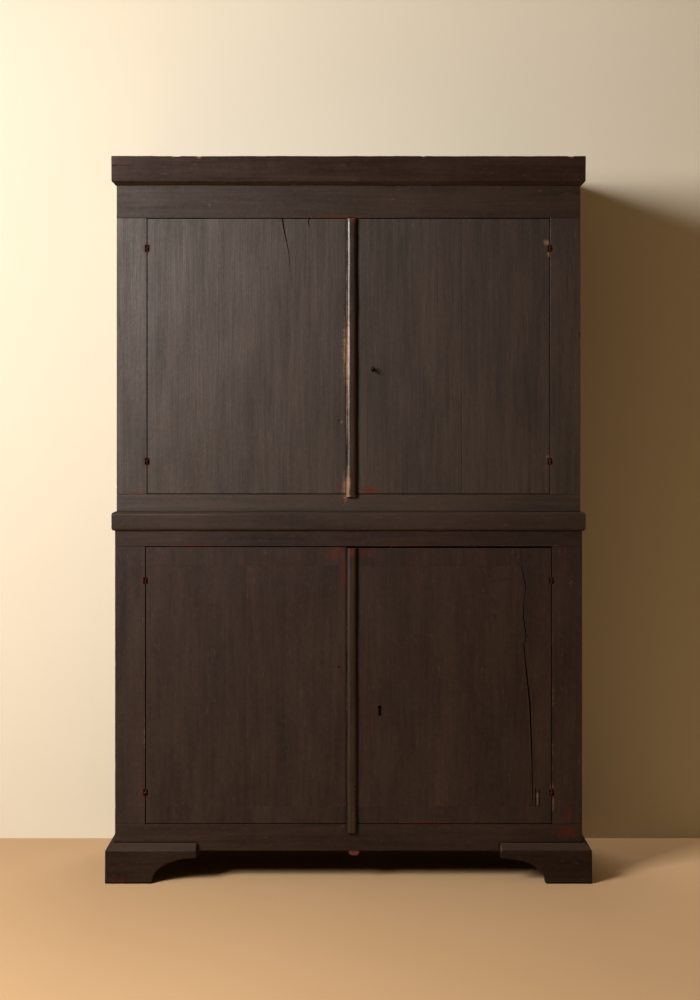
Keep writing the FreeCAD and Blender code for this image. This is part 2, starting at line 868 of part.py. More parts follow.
def closing_strip(stage, top_gap):
    """The rounded strip planted on the closing edge of a right door, over the gap between the two."""
    corners = (
        ("0", "0"),
        ("strip_width", "0"),
        ("strip_width", "strip_thick"),
        ("0", "strip_thick"),
    )
    low = f"{stage}_sill - {stage}_strip_overlap"
    high = f"{stage}_lintel - ({top_gap})"
    body = profile_bar(f"{stage}_strip", "XY_Plane", corners, f"{high} - ({low})")
    width = value("strip_width")
    rounded(
        body,
        "strip_radius",
        lambda a, b: near(a.y + b.y, 0) and near(a.x, b.x) and (near(a.x, 0) or near(a.x, width)),
    )
    front = f"{stage}_door_front - strip_thick"
    node(f"{stage}_closing_strip", placed(body, "0 - meeting_offset", front, low))


def lock(stage):
    """An iron rim lock on the back of a right door and its bolt, which shoots behind the left door."""
    side = f"{stage}_key_side"
    level = f"{stage}_key_level"
    back = f"{stage}_door_back"
    edge = "meeting_gap / 2 - meeting_offset + lock_inset"
    far = f"{side} + lock_tail"
    rear = f"{back} + lock_depth"
    low = f"{level} - lock_below"
    high = f"{level} + lock_above"
    shell = box(f"{stage}_lock_shell", (edge, far), (back, rear), (low, high))
    hollow = box(
        f"{stage}_lock_hollow",
        (f"{edge} + lock_wall", f"{far} - lock_wall"),
        (f"{back} - 1", f"{rear} - lock_wall"),
        (f"{low} + lock_wall", f"{high} - lock_wall"),
    )
    bolt_deep = (f"{back} + lock_bolt_setback", f"{back} + lock_bolt_setback + lock_bolt_thick")
    bolt_tall = (f"{level} + lock_bolt_rise", f"{level} + lock_bolt_rise + lock_bolt_height")
    slot = box(
        f"{stage}_lock_slot",
        (f"{edge} - 1", f"{edge} + lock_wall + 1"),
        (f"{bolt_deep[0]} - slide_clearance", f"{bolt_deep[1]} + slide_clearance"),
        (f"{bolt_tall[0]} - slide_clearance", f"{bolt_tall[1]} + slide_clearance"),
    )
    pin_hole = rod(
        f"{stage}_lock_pin_hole",
        (side, f"{rear} - lock_wall - 1", level),
        (0, 1, 0),
        "key_radius + slide_clearance",
        "lock_wall + 2",
    )
    tools = [hollow, slot, pin_hole]
    node(f"{stage}_lock_case", cut(f"{stage}_lock_case", shell, tools))
    tail = f"{side} + talon_start + talon_width + 4"
    bar = box(f"{stage}_bolt_bar", (edge, tail), bolt_deep, bolt_tall)
    talon = box(
        f"{stage}_talon",
        (f"{side} + talon_start", f"{side} + talon_start + talon_width"),
        (f"{bolt_deep[0]} - 1", f"{bolt_deep[1]} + 1"),
        (f"{bolt_tall[0]} - 1", f"{bolt_tall[0]} + talon_depth"),
    )
    node(f"{stage}_lock_bolt", cut(f"{stage}_lock_bolt", bar, [talon]))


def key():
    """The key in the upper lock: a ring bow, a collar, a round shank and a flat bit that hangs down."""
    side = "upper_key_side"
    level = "upper_key_level"
    tip = "upper_door_back + lock_depth + 1"
    front = "upper_door_front - key_reach"
    bow_middle = f"{front} + key_bow_radius + key_bow_wire"
    neck = f"{front} + 2 * key_bow_radius + key_bow_wire"
    upright = ((0, 1, 0), (0, 0, 1), (1, 0, 0))
    bow = ring("key_bow", (side, bow_middle, level), upright, "key_bow_radius", "key_bow_wire")
    shank = rod("key_shank", (side, neck, level), (0, 1, 0), "key_radius", f"{tip} - ({neck})")
    collar = rod(
        "key_collar",
        (side, f"{neck} + 2", level),
        (0, 1, 0),
        "key_collar_radius",
        "key_collar_length",
    )
    bit = box(
        "key_bit",
        (f"{side} - key_bit_thick / 2", f"{side} + key_bit_thick / 2"),
        ("upper_door_back + 2", "upper_door_back + 2 + key_bit_length"),
        (f"{level} - key_bit_reach", level),
    )
    node("upper_key", fused("key", [bow, shank, collar, bit]))


def slide_bolt(stage):
    """An iron bolt on the back of a left door that slides up behind the rail, and its guide plate."""
    middle = "left_closing_edge - bolt_edge_distance"
    back = f"{stage}_door_back"
    top = f"{stage}_lintel - end_gap"
    plate_high = f"{top} - bolt_plate_inset"
    plate_low = f"{plate_high} - bolt_plate_height"
    plate = box(
        f"{stage}_bolt_plate",
        (f"{middle} - bolt_plate_width / 2", f"{middle} + bolt_plate_width / 2"),
        (back, f"{back} + bolt_plate_thick"),
        (plate_low, plate_high),
    )
    bar_front = f"{back} + bolt_plate_thick + slide_clearance"
    bar_back = f"{bar_front} + bolt_thick"
    room = "bolt_width / 2 + slide_clearance"
    pieces = [plate]
    for number, low in enumerate((f"{plate_low} + 8", f"{plate_high} - 8 - bolt_bridge")):
        pieces.append(
            box(
                f"{stage}_bridge_{number}",
                (
                    f"{middle} - ({room}) - bolt_bridge_wall",
                    f"{middle} + {room} + bolt_bridge_wall",
                ),
                (back, f"{bar_back} + slide_clearance + bolt_bridge_wall"),
                (low, f"{low} + bolt_bridge"),
            )
        )
    channel = box(
        f"{stage}_channel",
        (f"{middle} - ({room})", f"{middle} + {room}"),
        (f"{back} + bolt_plate_thick", f"{bar_back} + slide_clearance"),
        (f"{plate_low} - 1", f"{plate_high} + 1"),
    )
    guide = cut(f"{stage}_bolt_guide", fused(f"{stage}_guide_blank", pieces), [channel])
    node(f"{stage}_bolt_guide", guide)
    bar_high = f"{top} - bolt_top_gap"
    bar = box(
        f"{stage}_slide_bar",
        (f"{middle} - bolt_width / 2", f"{middle} + bolt_width / 2"),
        (bar_front, bar_back),
        (f"{bar_high} - bolt_length", bar_high),
    )
    knob_level = f"({plate_low} + {plate_high}) / 2 - 12"
    knob = rod(
        f"{stage}_slide_knob",
        (middle, f"{bar_back} - 1", knob_level),
        (0, 1, 0),
        "bolt_knob_radius",
        "bolt_knob_length",
    )
    node(f"{stage}_slide_bolt", fused(f"{stage}_slide_bolt", [bar, knob]))


def cases():
    """The fixed woodwork of both stages."""
    lower_run = "lower_frame_top - lower_base"
    upper_run = "upper_frame_top - upper_base"
    for stage, run in (("lower", lower_run), ("upper", upper_run)):
        case_side(stage, run)
        bottom_board(stage)
        back_boards(stage, run)
        stiles(stage)
    rail("lower_bottom_rail", "lower", "lower_base", "lower_sill", True)
    rail("lower_top_rail", "lower", "lower_lintel", "lower_frame_top", False)
    rail("upper_bottom_rail", "upper", "upper_base", "upper_sill", True)
    rail("frieze_rail", "upper", "upper_lintel", "upper_frame_top", False)
    for label, stage, low, high in (
        ("dust_board", "lower", "lower_frame_top", "upper_base"),
        ("upper_top_board", "upper", "upper_frame_top", "overall_top"),
    ):
        across = (f"0 - {stage}_half", f"{stage}_half")
        node(label, box(label, across, (f"{stage}_front", "case_back"), (low, high)))
    shelf("lower_shelf", "lower", "lower_shelf_level")
    shelf("upper_shelf_low", "upper", "upper_shelf_low_level")
    shelf("upper_shelf_high", "upper", "upper_shelf_high_level")
    cleats()


def doors():
    """The four doors with their strips, locks, key and bolts."""
    door("upper", "left", "upper_left_joint", "upper_left_joint", "end_gap")
    door("upper", "right", "upper_right_joint", "upper_right_joint", "end_gap")
    door("lower", "left", "lower_left_joint", "lower_left_joint", "end_gap")
    low_gap = "end_gap + lower_right_drop"
    door("lower", "right", "lower_right_joint_top", "lower_right_joint_bottom", low_gap)
    closing_strip("upper", "end_gap")
    closing_strip("lower", low_gap)
    for stage in ("lower", "upper"):
        lock(stage)
        slide_bolt(stage)
    key()


def write():
    """Checks every object and writes each node's solids."""
    doc.recompute()
    for item in doc.Objects:
        if "Invalid" in item.State or "Error" in item.State:
            raise ValueError(f"{item.Name} failed: {item.State}")
    for piece in nodes:
        shape = piece.Shape
        if shape.isNull() or not shape.isValid() or not shape.Solids:
            raise ValueError(f"{piece.Label} has no valid solid")
    os.makedirs("parts", exist_ok=True)
    for piece in nodes:
        piece.Shape.exportStep(f"parts/{piece.Label}.step")
        print(piece.Label, len(piece.Shape.Solids), round(piece.Shape.Volume))
    print(len(nodes), "nodes")


cases()
waist()
cornice()
feet()
peg()
frame_eyes()
doors()
doc.removeObject("probe")
write()
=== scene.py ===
"""Looks of the two-stage painted press cupboard: worn boards, mouldings, feet, doors and ironwork."""

from __future__ import annotations

import json
import logging
import math
from collections.abc import Callable, Iterable, Sequence
from dataclasses import dataclass, field
from enum import Enum
from functools import cached_property

import bmesh
import bpy
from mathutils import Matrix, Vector

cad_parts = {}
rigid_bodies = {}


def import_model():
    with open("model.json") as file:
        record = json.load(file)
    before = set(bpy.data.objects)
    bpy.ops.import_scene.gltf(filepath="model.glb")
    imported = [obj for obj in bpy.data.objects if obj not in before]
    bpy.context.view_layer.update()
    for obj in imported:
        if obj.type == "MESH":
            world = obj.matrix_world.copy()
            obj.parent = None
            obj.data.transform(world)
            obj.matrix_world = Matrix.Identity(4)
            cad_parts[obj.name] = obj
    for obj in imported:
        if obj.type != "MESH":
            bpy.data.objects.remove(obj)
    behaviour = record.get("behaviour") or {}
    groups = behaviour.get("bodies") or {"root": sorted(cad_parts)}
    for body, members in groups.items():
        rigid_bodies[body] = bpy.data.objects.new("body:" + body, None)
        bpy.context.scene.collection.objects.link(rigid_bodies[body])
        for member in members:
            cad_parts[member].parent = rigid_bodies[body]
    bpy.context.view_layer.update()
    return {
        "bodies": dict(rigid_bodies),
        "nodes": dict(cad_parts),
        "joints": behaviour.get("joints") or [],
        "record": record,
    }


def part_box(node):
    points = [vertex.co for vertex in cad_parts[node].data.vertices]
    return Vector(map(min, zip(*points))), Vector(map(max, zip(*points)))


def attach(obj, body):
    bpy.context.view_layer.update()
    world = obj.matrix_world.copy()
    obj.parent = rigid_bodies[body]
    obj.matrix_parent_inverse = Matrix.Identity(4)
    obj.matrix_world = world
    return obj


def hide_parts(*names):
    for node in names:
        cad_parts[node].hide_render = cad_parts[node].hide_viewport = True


LOG = logging.getLogger("press_cupboard")
MM = 0.001
# corners that are done wait this far off, in metres, while the others are picked
ASIDE = 5.0
# arrises sharper than this are rounded, and edges sharper than the next are shaded as sharp
ARRIS_DEGREES = 40
CREASE_DEGREES = 38
# an edge follows an axis when this share of its length lies along it
ALONG = 0.999
# a face looks along an axis when its normal has more than this share of it
FACING = 0.7

Node = bpy.types.Node
Socket = bpy.types.NodeSocket
Piece = bpy.types.Object
Finish = bpy.types.Material
Place = Sequence[float]
Trail = Sequence[tuple[float, float, float]]
# start and end on the scale of a pattern, and what is seen there
Span = tuple[float, float, float, float]


class Named(Enum):
    """An option that can say its name."""

    @property
    def word(self) -> str:
        """The name in small letters."""
        return self.name.lower()


class Grain(Named):
    """The axis that the fibres of a board follow."""

    ACROSS = 0
    DEEP = 1
    UPRIGHT = 2

    def repeats(self, width_mm: float, length_mm: float) -> tuple[float, float, float]:
        """Gives a pattern's repeats per metre.

        Args:
            width_mm: Size of one mark across the fibres.
            length_mm: Size of one mark along the fibres.

        Returns:
            The repeats along X, Y and Z.
        """
        repeats = [1 / (width_mm * MM)] * 3
        repeats[self.value] = 1 / (length_mm * MM)
        return tuple(repeats)


class Stage(Named):
    """The two cases that stand on each other."""

    LOWER = 0
    UPPER = 1


class Hand(Named):
    """The side of the middle that a piece is on."""

    LEFT = -1
    RIGHT = 1


class Layer(Named):
    """What comes to light where the paint is rubbed through."""

    GROUND = 0
    WOOD = 1


class Element(Enum):
    """What a test picks in edit mode."""

    CORNER = "VERT"
    EDGE = "EDGE"
    FACE = "FACE"


class Stray(Enum):
    """The way that an uneven surface strays."""

    OUTWARDS = "NORMAL"
    DEEP = "Y"


class Sum(Enum):
    """How values are put together."""

    TIMES = "MULTIPLY"
    TIMES_PLUS = "MULTIPLY_ADD"
    LARGER = "MAXIMUM"
    TO_AND_FRO = "PINGPONG"


def linear(colour: str) -> tuple[float, float, float, float]:
    """Turns an sRGB hex colour to linear light.

    Args:
        colour: The colour as "#rrggbb".

    Returns:
        Red, green, blue and a full alpha.
    """
    shares = [int(colour[i : i + 2], 16) / 255 for i in (1, 3, 5)]
    light = [s / 12.92 if s <= 0.04045 else ((s + 0.055) / 1.055) ** 2.4 for s in shares]
    return (*light, 1.0)


def add(tree: bpy.types.NodeTree, kind: str, inputs: dict | None = None, **settings: object) -> Node:
    """Adds a node with its settings and links.

    Args:
        tree: The nodes that it joins.
        kind: The node's type.
        inputs: Value, socket or node for each input; a node gives its first output.
        **settings: The node's own options.

    Returns:
        The new node.
    """
    node = tree.nodes.new(kind)
    for name, setting in settings.items():
        setattr(node, name, setting)
    for socket, given in (inputs or {}).items():
        if isinstance(given, Node):
            given = given.outputs[0]
        if isinstance(given, Socket):
            tree.links.new(given, node.inputs[socket])
        else:
            node.inputs[socket].default_value = given
    return node


class Recipe:
    """A finish while it is mixed: its material, and the steps that all finishes are mixed by."""

    def __init__(self, name: str) -> None:
        """Starts a material with no nodes.

        Args:
            name: The finish's name.
        """
        self.finish = bpy.data.materials.new(name)
        self.finish.use_nodes = True
        self.tree = self.finish.node_tree
        self.tree.nodes.clear()
        self.place = add(self.tree, "ShaderNodeTexCoord").outputs["Object"]

    @cached_property
    def surface(self) -> Node:
        """What is known of the surface at each point."""
        return add(self.tree, "ShaderNodeNewGeometry")

    def board(self, spread: float) -> Node:
        """A value that is the same all over a board and differs from board to board."""
        return self.reckon(Sum.TIMES, self.surface.outputs["Random Per Island"], spread)

    def noise(
        self,
        size: float | tuple[float, float, float],
        detail: float,
        roughness: float = 0.5,
        board: Node | None = None,
        waver: float = 0.0,
    ) -> Node:
        """Adds a cloudy pattern.

        Args:
            size: The size of a cloud in millimetres, or the repeats per metre along X, Y and Z.
            detail: How many finer layers it has.
            roughness: How strong these are.
            board: What makes it differ from board to board.
            waver: How much it is distorted.

        Returns:
            The pattern.
        """
        inputs = {"Detail": detail, "Roughness": roughness, "Distortion": waver}
        if isinstance(size, tuple):
            stretched = add(self.tree, "ShaderNodeMapping", {"Vector": self.place, "Scale": size})
            inputs |= {"Vector": stretched, "Scale": 1.0}
        else:
            inputs |= {"Vector": self.place, "Scale": 1 / (size * MM)}
        if board is None:
            return add(self.tree, "ShaderNodeTexNoise", inputs)
        return add(self.tree, "ShaderNodeTexNoise", inputs | {"W": board}, noise_dimensions="4D")

    def span(
        self,
        value: Node | Socket,
        start: float,
        end: float,
        low: float = 0.0,
        high: float = 1.0,
        eased: bool = False,
    ) -> Node:
        """Stretches one range of a value to another and cuts off what lies beyond.

        Args:
            value: The value.
            start: What becomes the low end.
            end: What becomes the high end.
            low: The new low end.
            high: The new high end.
            eased: Whether it starts and ends gently.

        Returns:
            The new value.
        """
        inputs = {0: value, 1: start, 2: end, 3: low, 4: high}
        way = "SMOOTHSTEP" if eased else "LINEAR"
        return add(self.tree, "ShaderNodeMapRange", inputs, interpolation_type=way)

    def reckon(self, way: Sum, *values: float | Node | Socket) -> Node:
        """Puts values together."""
        return add(self.tree, "ShaderNodeMath", dict(enumerate(values)), operation=way.value)

    def pile(self, base: float | Node, *shares: tuple[Node | Socket, float]) -> Node:
        """Adds shares of patterns to a base.

        Args:
            base: What they are added to.
            *shares: Each pattern and its share.

        Returns:
            The total.
        """
        for pattern, share in shares:
            base = self.reckon(Sum.TIMES_PLUS, pattern, share, base)
        return base

    def about(self, middle: float, *shares: tuple[Node | Socket, float]) -> Node:
        """Adds shares of cloudy patterns so that the total lies about a middle."""
        return self.pile(middle - sum(share for _, share in shares) / 2, *shares)

    def blend(self, share: Node, under: str | Socket, over: str | Socket) -> Socket:
        """Lays one colour over another.

        Args:
            share: How much of the upper one shows.
            under: The lower colour, as hex or from a node.
            over: The upper colour, as hex or from a node.

        Returns:
            The colour that is seen.
        """
        under, over = (linear(each) if isinstance(each, str) else each for each in (under, over))
        return add(self.tree, "ShaderNodeMix", {0: share, 6: under, 7: over}, data_type="RGBA").outputs[2]

    def relief(self, height: Node, strength: float, depth_mm: float) -> Node:
        """Raises the surface a little by a pattern."""
        inputs = {"Height": height, "Strength": strength, "Distance": depth_mm * MM}
        return add(self.tree, "ShaderNodeBump", inputs)

    def shader(self, inputs: dict) -> Node:
        """The body of the finish."""
        return add(self.tree, "ShaderNodeBsdfPrincipled", inputs)

    def close(self, shader: Node) -> Finish:
        """Gives the material its shader and hands it over."""
        add(self.tree, "ShaderNodeOutputMaterial", {"Surface": shader})
        return self.finish


def alike(first: float, second: float) -> bool:
    """Whether two measures in metres agree to a tenth of a millimetre."""
    return abs(first - second) < 0.1 * MM


def runs(first: Vector, second: Vector, axis: int) -> bool:
    """Whether the line between two corners follows an axis."""
    return abs(second[axis] - first[axis]) > ALONG * (second - first).length


def leave_edit() -> None:
    """Goes back from edit mode."""
    bpy.ops.object.mode_set(mode="OBJECT")


def bare_bench() -> None:
    """Leaves edit mode and deselects everything."""
    if bpy.context.mode != "OBJECT":
        leave_edit()
    bpy.ops.object.select_all(action="DESELECT")


def take(piece: Piece) -> None:
    """Leaves one piece selected and active, in object mode.

    Args:
        piece: The piece.
    """
    bare_bench()
    piece.select_set(True)
    bpy.context.view_layer.objects.active = piece


def fix_place(piece: Piece) -> None:
    """Puts the place, turn and scale of a piece in its mesh."""
    take(piece)
    bpy.ops.object.transform_apply(location=True, rotation=True, scale=True)


def new_piece(name: str) -> Piece:
    """Names the primitive that was just added and puts its place in its mesh.

    Args:
        name: The piece's name.

    Returns:
        The piece.
    """
    piece = bpy.context.active_object
    fix_place(piece)
    piece.name = name
    piece.data.name = name
    return piece


def block(name: str, low: Place, high: Place) -> Piece:
    """Adds a block between two corners.

    Args:
        name: The piece's name.
        low: Its lowest corner, in metres.
        high: Its highest corner, in metres.

    Returns:
        The piece, with its place in its mesh.
    """
    bare_bench()
    low, high = Vector(low), Vector(high)
    bpy.ops.mesh.primitive_cube_add(size=1, location=(low + high) / 2, scale=high - low)
    return new_piece(name)


def rod(name: str, middle: Place, axis: int, radius: float, length: float, sides: int = 24) -> Piece:
    """Adds a round bar along an axis.

    Args:
        name: The piece's name.
        middle: Its middle, in metres.
        axis: 0, 1 or 2 for X, Y or Z.
        radius: Its radius, in metres.
        length: Its length, in metres.
        sides: How many flats it is turned with.

    Returns:
        The piece, with its place in its mesh.
    """
    bare_bench()
    turn = ((0, math.pi / 2, 0), (math.pi / 2, 0, 0), (0, 0, 0))[axis]
    bpy.ops.mesh.primitive_cylinder_add(
        vertices=sides, radius=radius, depth=length, location=middle, rotation=turn
    )
    return new_piece(name)


def pebble(name: str, middle: Place, sizes: Place) -> Piece:
    """Adds a rough oval lump, for knocks and chips.

    Args:
        name: The piece's name.
        middle: Its middle, in metres.
        sizes: Its half sizes, in metres.

    Returns:
        The piece, with its place in its mesh.
    """
    bare_bench()
    bpy.ops.mesh.primitive_ico_sphere_add(subdivisions=2, radius=1, location=middle, scale=sizes)
    return new_piece(name)


def choose(piece: Piece, element: Element, test: Callable[..., bool]) -> int:
    """Enters edit mode and selects what a test picks.

    Args:
        piece: The piece to work on.
        element: Whether corners, edges or faces are tested.
        test: Takes a corner's place, an edge's two places, or a face's normal and middle.

    Returns:
        How many were picked.
    """
    take(piece)
    bpy.ops.object.mode_set(mode="EDIT")
    bpy.ops.mesh.select_mode(type=element.value)
    bpy.ops.mesh.select_all(action="DESELECT")
    mesh = bmesh.from_edit_mesh(piece.data)
    if element is Element.CORNER:
        found = [corner for corner in mesh.verts if test(corner.co)]
    elif element is Element.EDGE:
        found = [edge for edge in mesh.edges if test(edge.verts[0].co, edge.verts[1].co)]
    else:
        found = [face for face in mesh.faces if test(face.normal, face.calc_center_median())]
    for item in found:
        item.select_set(True)
    mesh.select_flush_mode()
    bmesh.update_edit_mesh(piece.data)
    return len(found)


def choose_all(piece: Piece) -> None:
    """Enters edit mode and selects the whole piece."""
    choose(piece, Element.FACE, lambda normal, middle: True)


def divide(piece: Piece, axis: int, step: float) -> None:
    """Divides the edges that run along an axis into steps.

    Args:
        piece: The piece to divide.
        axis: 0, 1 or 2 for X, Y or Z.
        step: The largest step, in metres.
    """
    levels = [corner.co[axis] for corner in piece.data.vertices]
    spans = [abs(levels[edge.vertices[1]] - levels[edge.vertices[0]]) for edge in piece.data.edges]
    cuts = math.ceil(max(spans) / step) - 1
    if cuts > 0 and choose(piece, Element.EDGE, lambda a, b: runs(a, b, axis)):
        bpy.ops.mesh.subdivide(number_cuts=cuts)
    leave_edit()


def bevel(piece: Piece, axis: int, level: dict[int, float], width_mm: float, segments: int) -> None:
    """Bevels or rounds some long edges of a block.

    Args:
        piece: The block.
        axis: The axis that the edges follow.
        level: Where they lie on one or both of the other axes, in metres.
        width_mm: How far the bevel reaches.
        segments: How many flats it has.
    """
    choose(
        piece,
        Element.EDGE,
        lambda a, b: runs(a, b, axis) and all(alike(a[other], at) for other, at in level.items()),
    )
    bpy.ops.mesh.bevel(offset=width_mm * MM, segments=segments, affect="EDGES")
    leave_edit()


def shave(piece: Piece, point: Place, outward: Place, keep: bool = False) -> None:
    """Cuts a piece along a plane.

    Args:
        piece: The piece to cut.
        point: A point on the plane, in metres.
        outward: The plane's normal, towards the waste.
        keep: Leaves the waste on, so that only a line is cut.
    """
    choose_all(piece)
    bpy.ops.mesh.bisect(plane_co=point, plane_no=outward, clear_outer=not keep, use_fill=not keep)
    leave_edit()


def finish_modifier(piece: Piece, kind: str, **settings: object) -> None:
    """Adds a modifier and applies it.

    Args:
        piece: The piece to work on.
        kind: The modifier's type.
        **settings: The modifier's own options.
    """
    take(piece)
    modifier = piece.modifiers.new(kind.lower(), kind)
    for name, setting in settings.items():
        setattr(modifier, name, setting)
    bpy.ops.object.modifier_apply(modifier=modifier.name)


def soften(piece: Piece, width_mm: float, segments: int = 3) -> None:
    """Rounds the sharp arrises of a piece.

    Args:
        piece: The piece to work on.
        width_mm: How far the rounding reaches.
        segments: How many flats it has.
    """
    sharp = {"limit_method": "ANGLE", "angle_limit": math.radians(ARRIS_DEGREES)}
    finish_modifier(piece, "BEVEL", width=width_mm * MM, segments=segments, **sharp)


def wander(piece: Piece, *hollows_mm: tuple[float, float], way: Stray = Stray.OUTWARDS) -> None:
    """Makes flats and arrises uneven, as old hand-planed wood is.

    Args:
        piece: The piece to work on.
        *hollows_mm: How far the surface strays to either side, and the size of one hollow.
        way: The way that it strays.
    """
    for amount, size in hollows_mm:
        texture = bpy.data.textures.new("plane_marks", "CLOUDS")
        texture.noise_scale = size * MM
        texture.noise_depth = 1
        finish_modifier(
            piece,
            "DISPLACE",
            texture=texture,
            texture_coords="LOCAL",
            direction=way.value,
            # the clouds stray about a quarter to either side of their middle
            strength=4 * amount * MM,
            mid_level=0.5,
        )
        bpy.data.textures.remove(texture)


def carve(piece: Piece, tools: Iterable[Piece]) -> None:
    """Takes tools out of a piece and puts the tools away.

    Args:
        piece: The piece to work on.
        tools: What is taken out.
    """
    for tool in tools:
        finish_modifier(piece, "BOOLEAN", object=tool, operation="DIFFERENCE", solver="EXACT")
        bpy.data.meshes.remove(tool.data)


def joined(pieces: Sequence[Piece]) -> Piece:
    """Makes one piece of several that are fixed together.

    Args:
        pieces: The pieces, two or more.

    Returns:
        The whole.
    """
    take(pieces[0])
    for piece in pieces[1:]:
        piece.select_set(True)
    bpy.ops.object.join()
    return pieces[0]


def turn_outwards(piece: Piece) -> None:
    """Points all faces of a closed piece outwards.

    Args:
        piece: The piece, left in object mode.
    """
    choose_all(piece)
    bpy.ops.mesh.normals_make_consistent(inside=False)
    if bmesh.from_edit_mesh(piece.data).calc_volume(signed=True) < 0:
        bpy.ops.mesh.flip_normals()
    leave_edit()


def lay(piece: Piece, place: Place, turn: float = 0.0, flip: bool = False) -> Piece:
    """Puts a piece that was made at the origin in its place.

    Args:
        piece: The piece to place.
        place: Where its origin goes, in metres.
        turn: Its turn about the upright, in radians.
        flip: Mirrors it to the other side of the middle afterwards.

    Returns:
        The same piece.
    """
    piece.location = place
    piece.rotation_euler.z = turn
    fix_place(piece)
    if flip:
        piece.scale.x = -1
        fix_place(piece)
        turn_outwards(piece)
    return piece


def crack(trail: Trail, front: float, depth_mm: float, lying: bool = False) -> Piece:
    """Makes the thin wedge that carves a split.

    Args:
        trail: X, Z and width of the split at each of its bends, in millimetres.
        front: The Y of the face that it opens, in metres.
        depth_mm: How deep it goes.
        lying: Whether the split runs sideways and not upright.

    Returns:
        The tool.
    """
    along, across = (0, 2) if lying else (2, 0)
    # it starts this far in front of the face
    clear_mm = 3
    low, high = Vector((-0.5 * MM,) * 3), Vector((0.5 * MM,) * 3)
    low[along], high[along] = 0.0, 1.0
    low.y, high.y = front - clear_mm * MM, front + depth_mm * MM
    tool = block("split", low, high)
    last = len(trail) - 1
    # a hair over an even share, so that rounding adds no row
    hair = 1e-6
    divide(tool, along, 1 / last + hair)
    for row, (x, z, width) in enumerate(trail):
        level = row / last
        choose(tool, Element.CORNER, lambda place: alike(place[along], level))
        grow = [1.0, 1.0, 1.0]
        grow[across] = width
        bpy.ops.transform.resize(value=grow, center_override=(0, 0, 0))
        move = Vector((x * MM, 0, z * MM))
        move[along] -= level + ASIDE
        bpy.ops.transform.translate(value=move)
    choose_all(tool)
    back = Vector((0, 0, 0))
    back[along] = ASIDE
    bpy.ops.transform.translate(value=back)
    turn_outwards(tool)
    return tool


@dataclass(frozen=True)
class Coat:
    """A finish and the faces that it covers."""

    finish: Finish
    where: Callable[[Vector, Vector], bool] = lambda normal, middle: True


def settle(piece: Piece, name: str, body: str, slot: str, *coats: Coat) -> None:
    """Names, dresses and shades a finished piece and hands it to the body that it moves with.

    Args:
        piece: The finished piece.
        name: Its name.
        body: The body's name.
        slot: The material slot that it takes its finish from; not used.
        *coats: Its finishes and the faces that each covers, the later over the first.
    """
    piece.name = piece.data.name = name
    piece.data.materials.clear()
    for coat in coats:
        piece.data.materials.append(coat.finish)
    for face in piece.data.polygons:
        face.material_index = max(i for i, coat in enumerate(coats) if coat.where(face.normal, face.center))
    take(piece)
    bpy.ops.object.shade_smooth_by_angle(angle=math.radians(CREASE_DEGREES))
    finish_modifier(piece, "WEIGHTED_NORMAL", keep_sharp=True)
    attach(piece, body)
    LOG.info("%s: %d faces on %s", piece.name, len(piece.data.polygons), body)


def stand_in(piece: Piece, node: str, body: str, slot: str, *coats: Coat) -> None:
    """Settles a worn piece that stands for one of the frame's."""
    settle(piece, "aged_" + node, body, slot, *coats)
    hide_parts(node)


@dataclass(frozen=True)
class Rub:
    """A place where hands, hinges or knocks wore the paint away, in millimetres on the front."""

    x: float
    z: float
    half_width: float
    half_height: float
    strength: float
    layer: Layer = Layer.GROUND


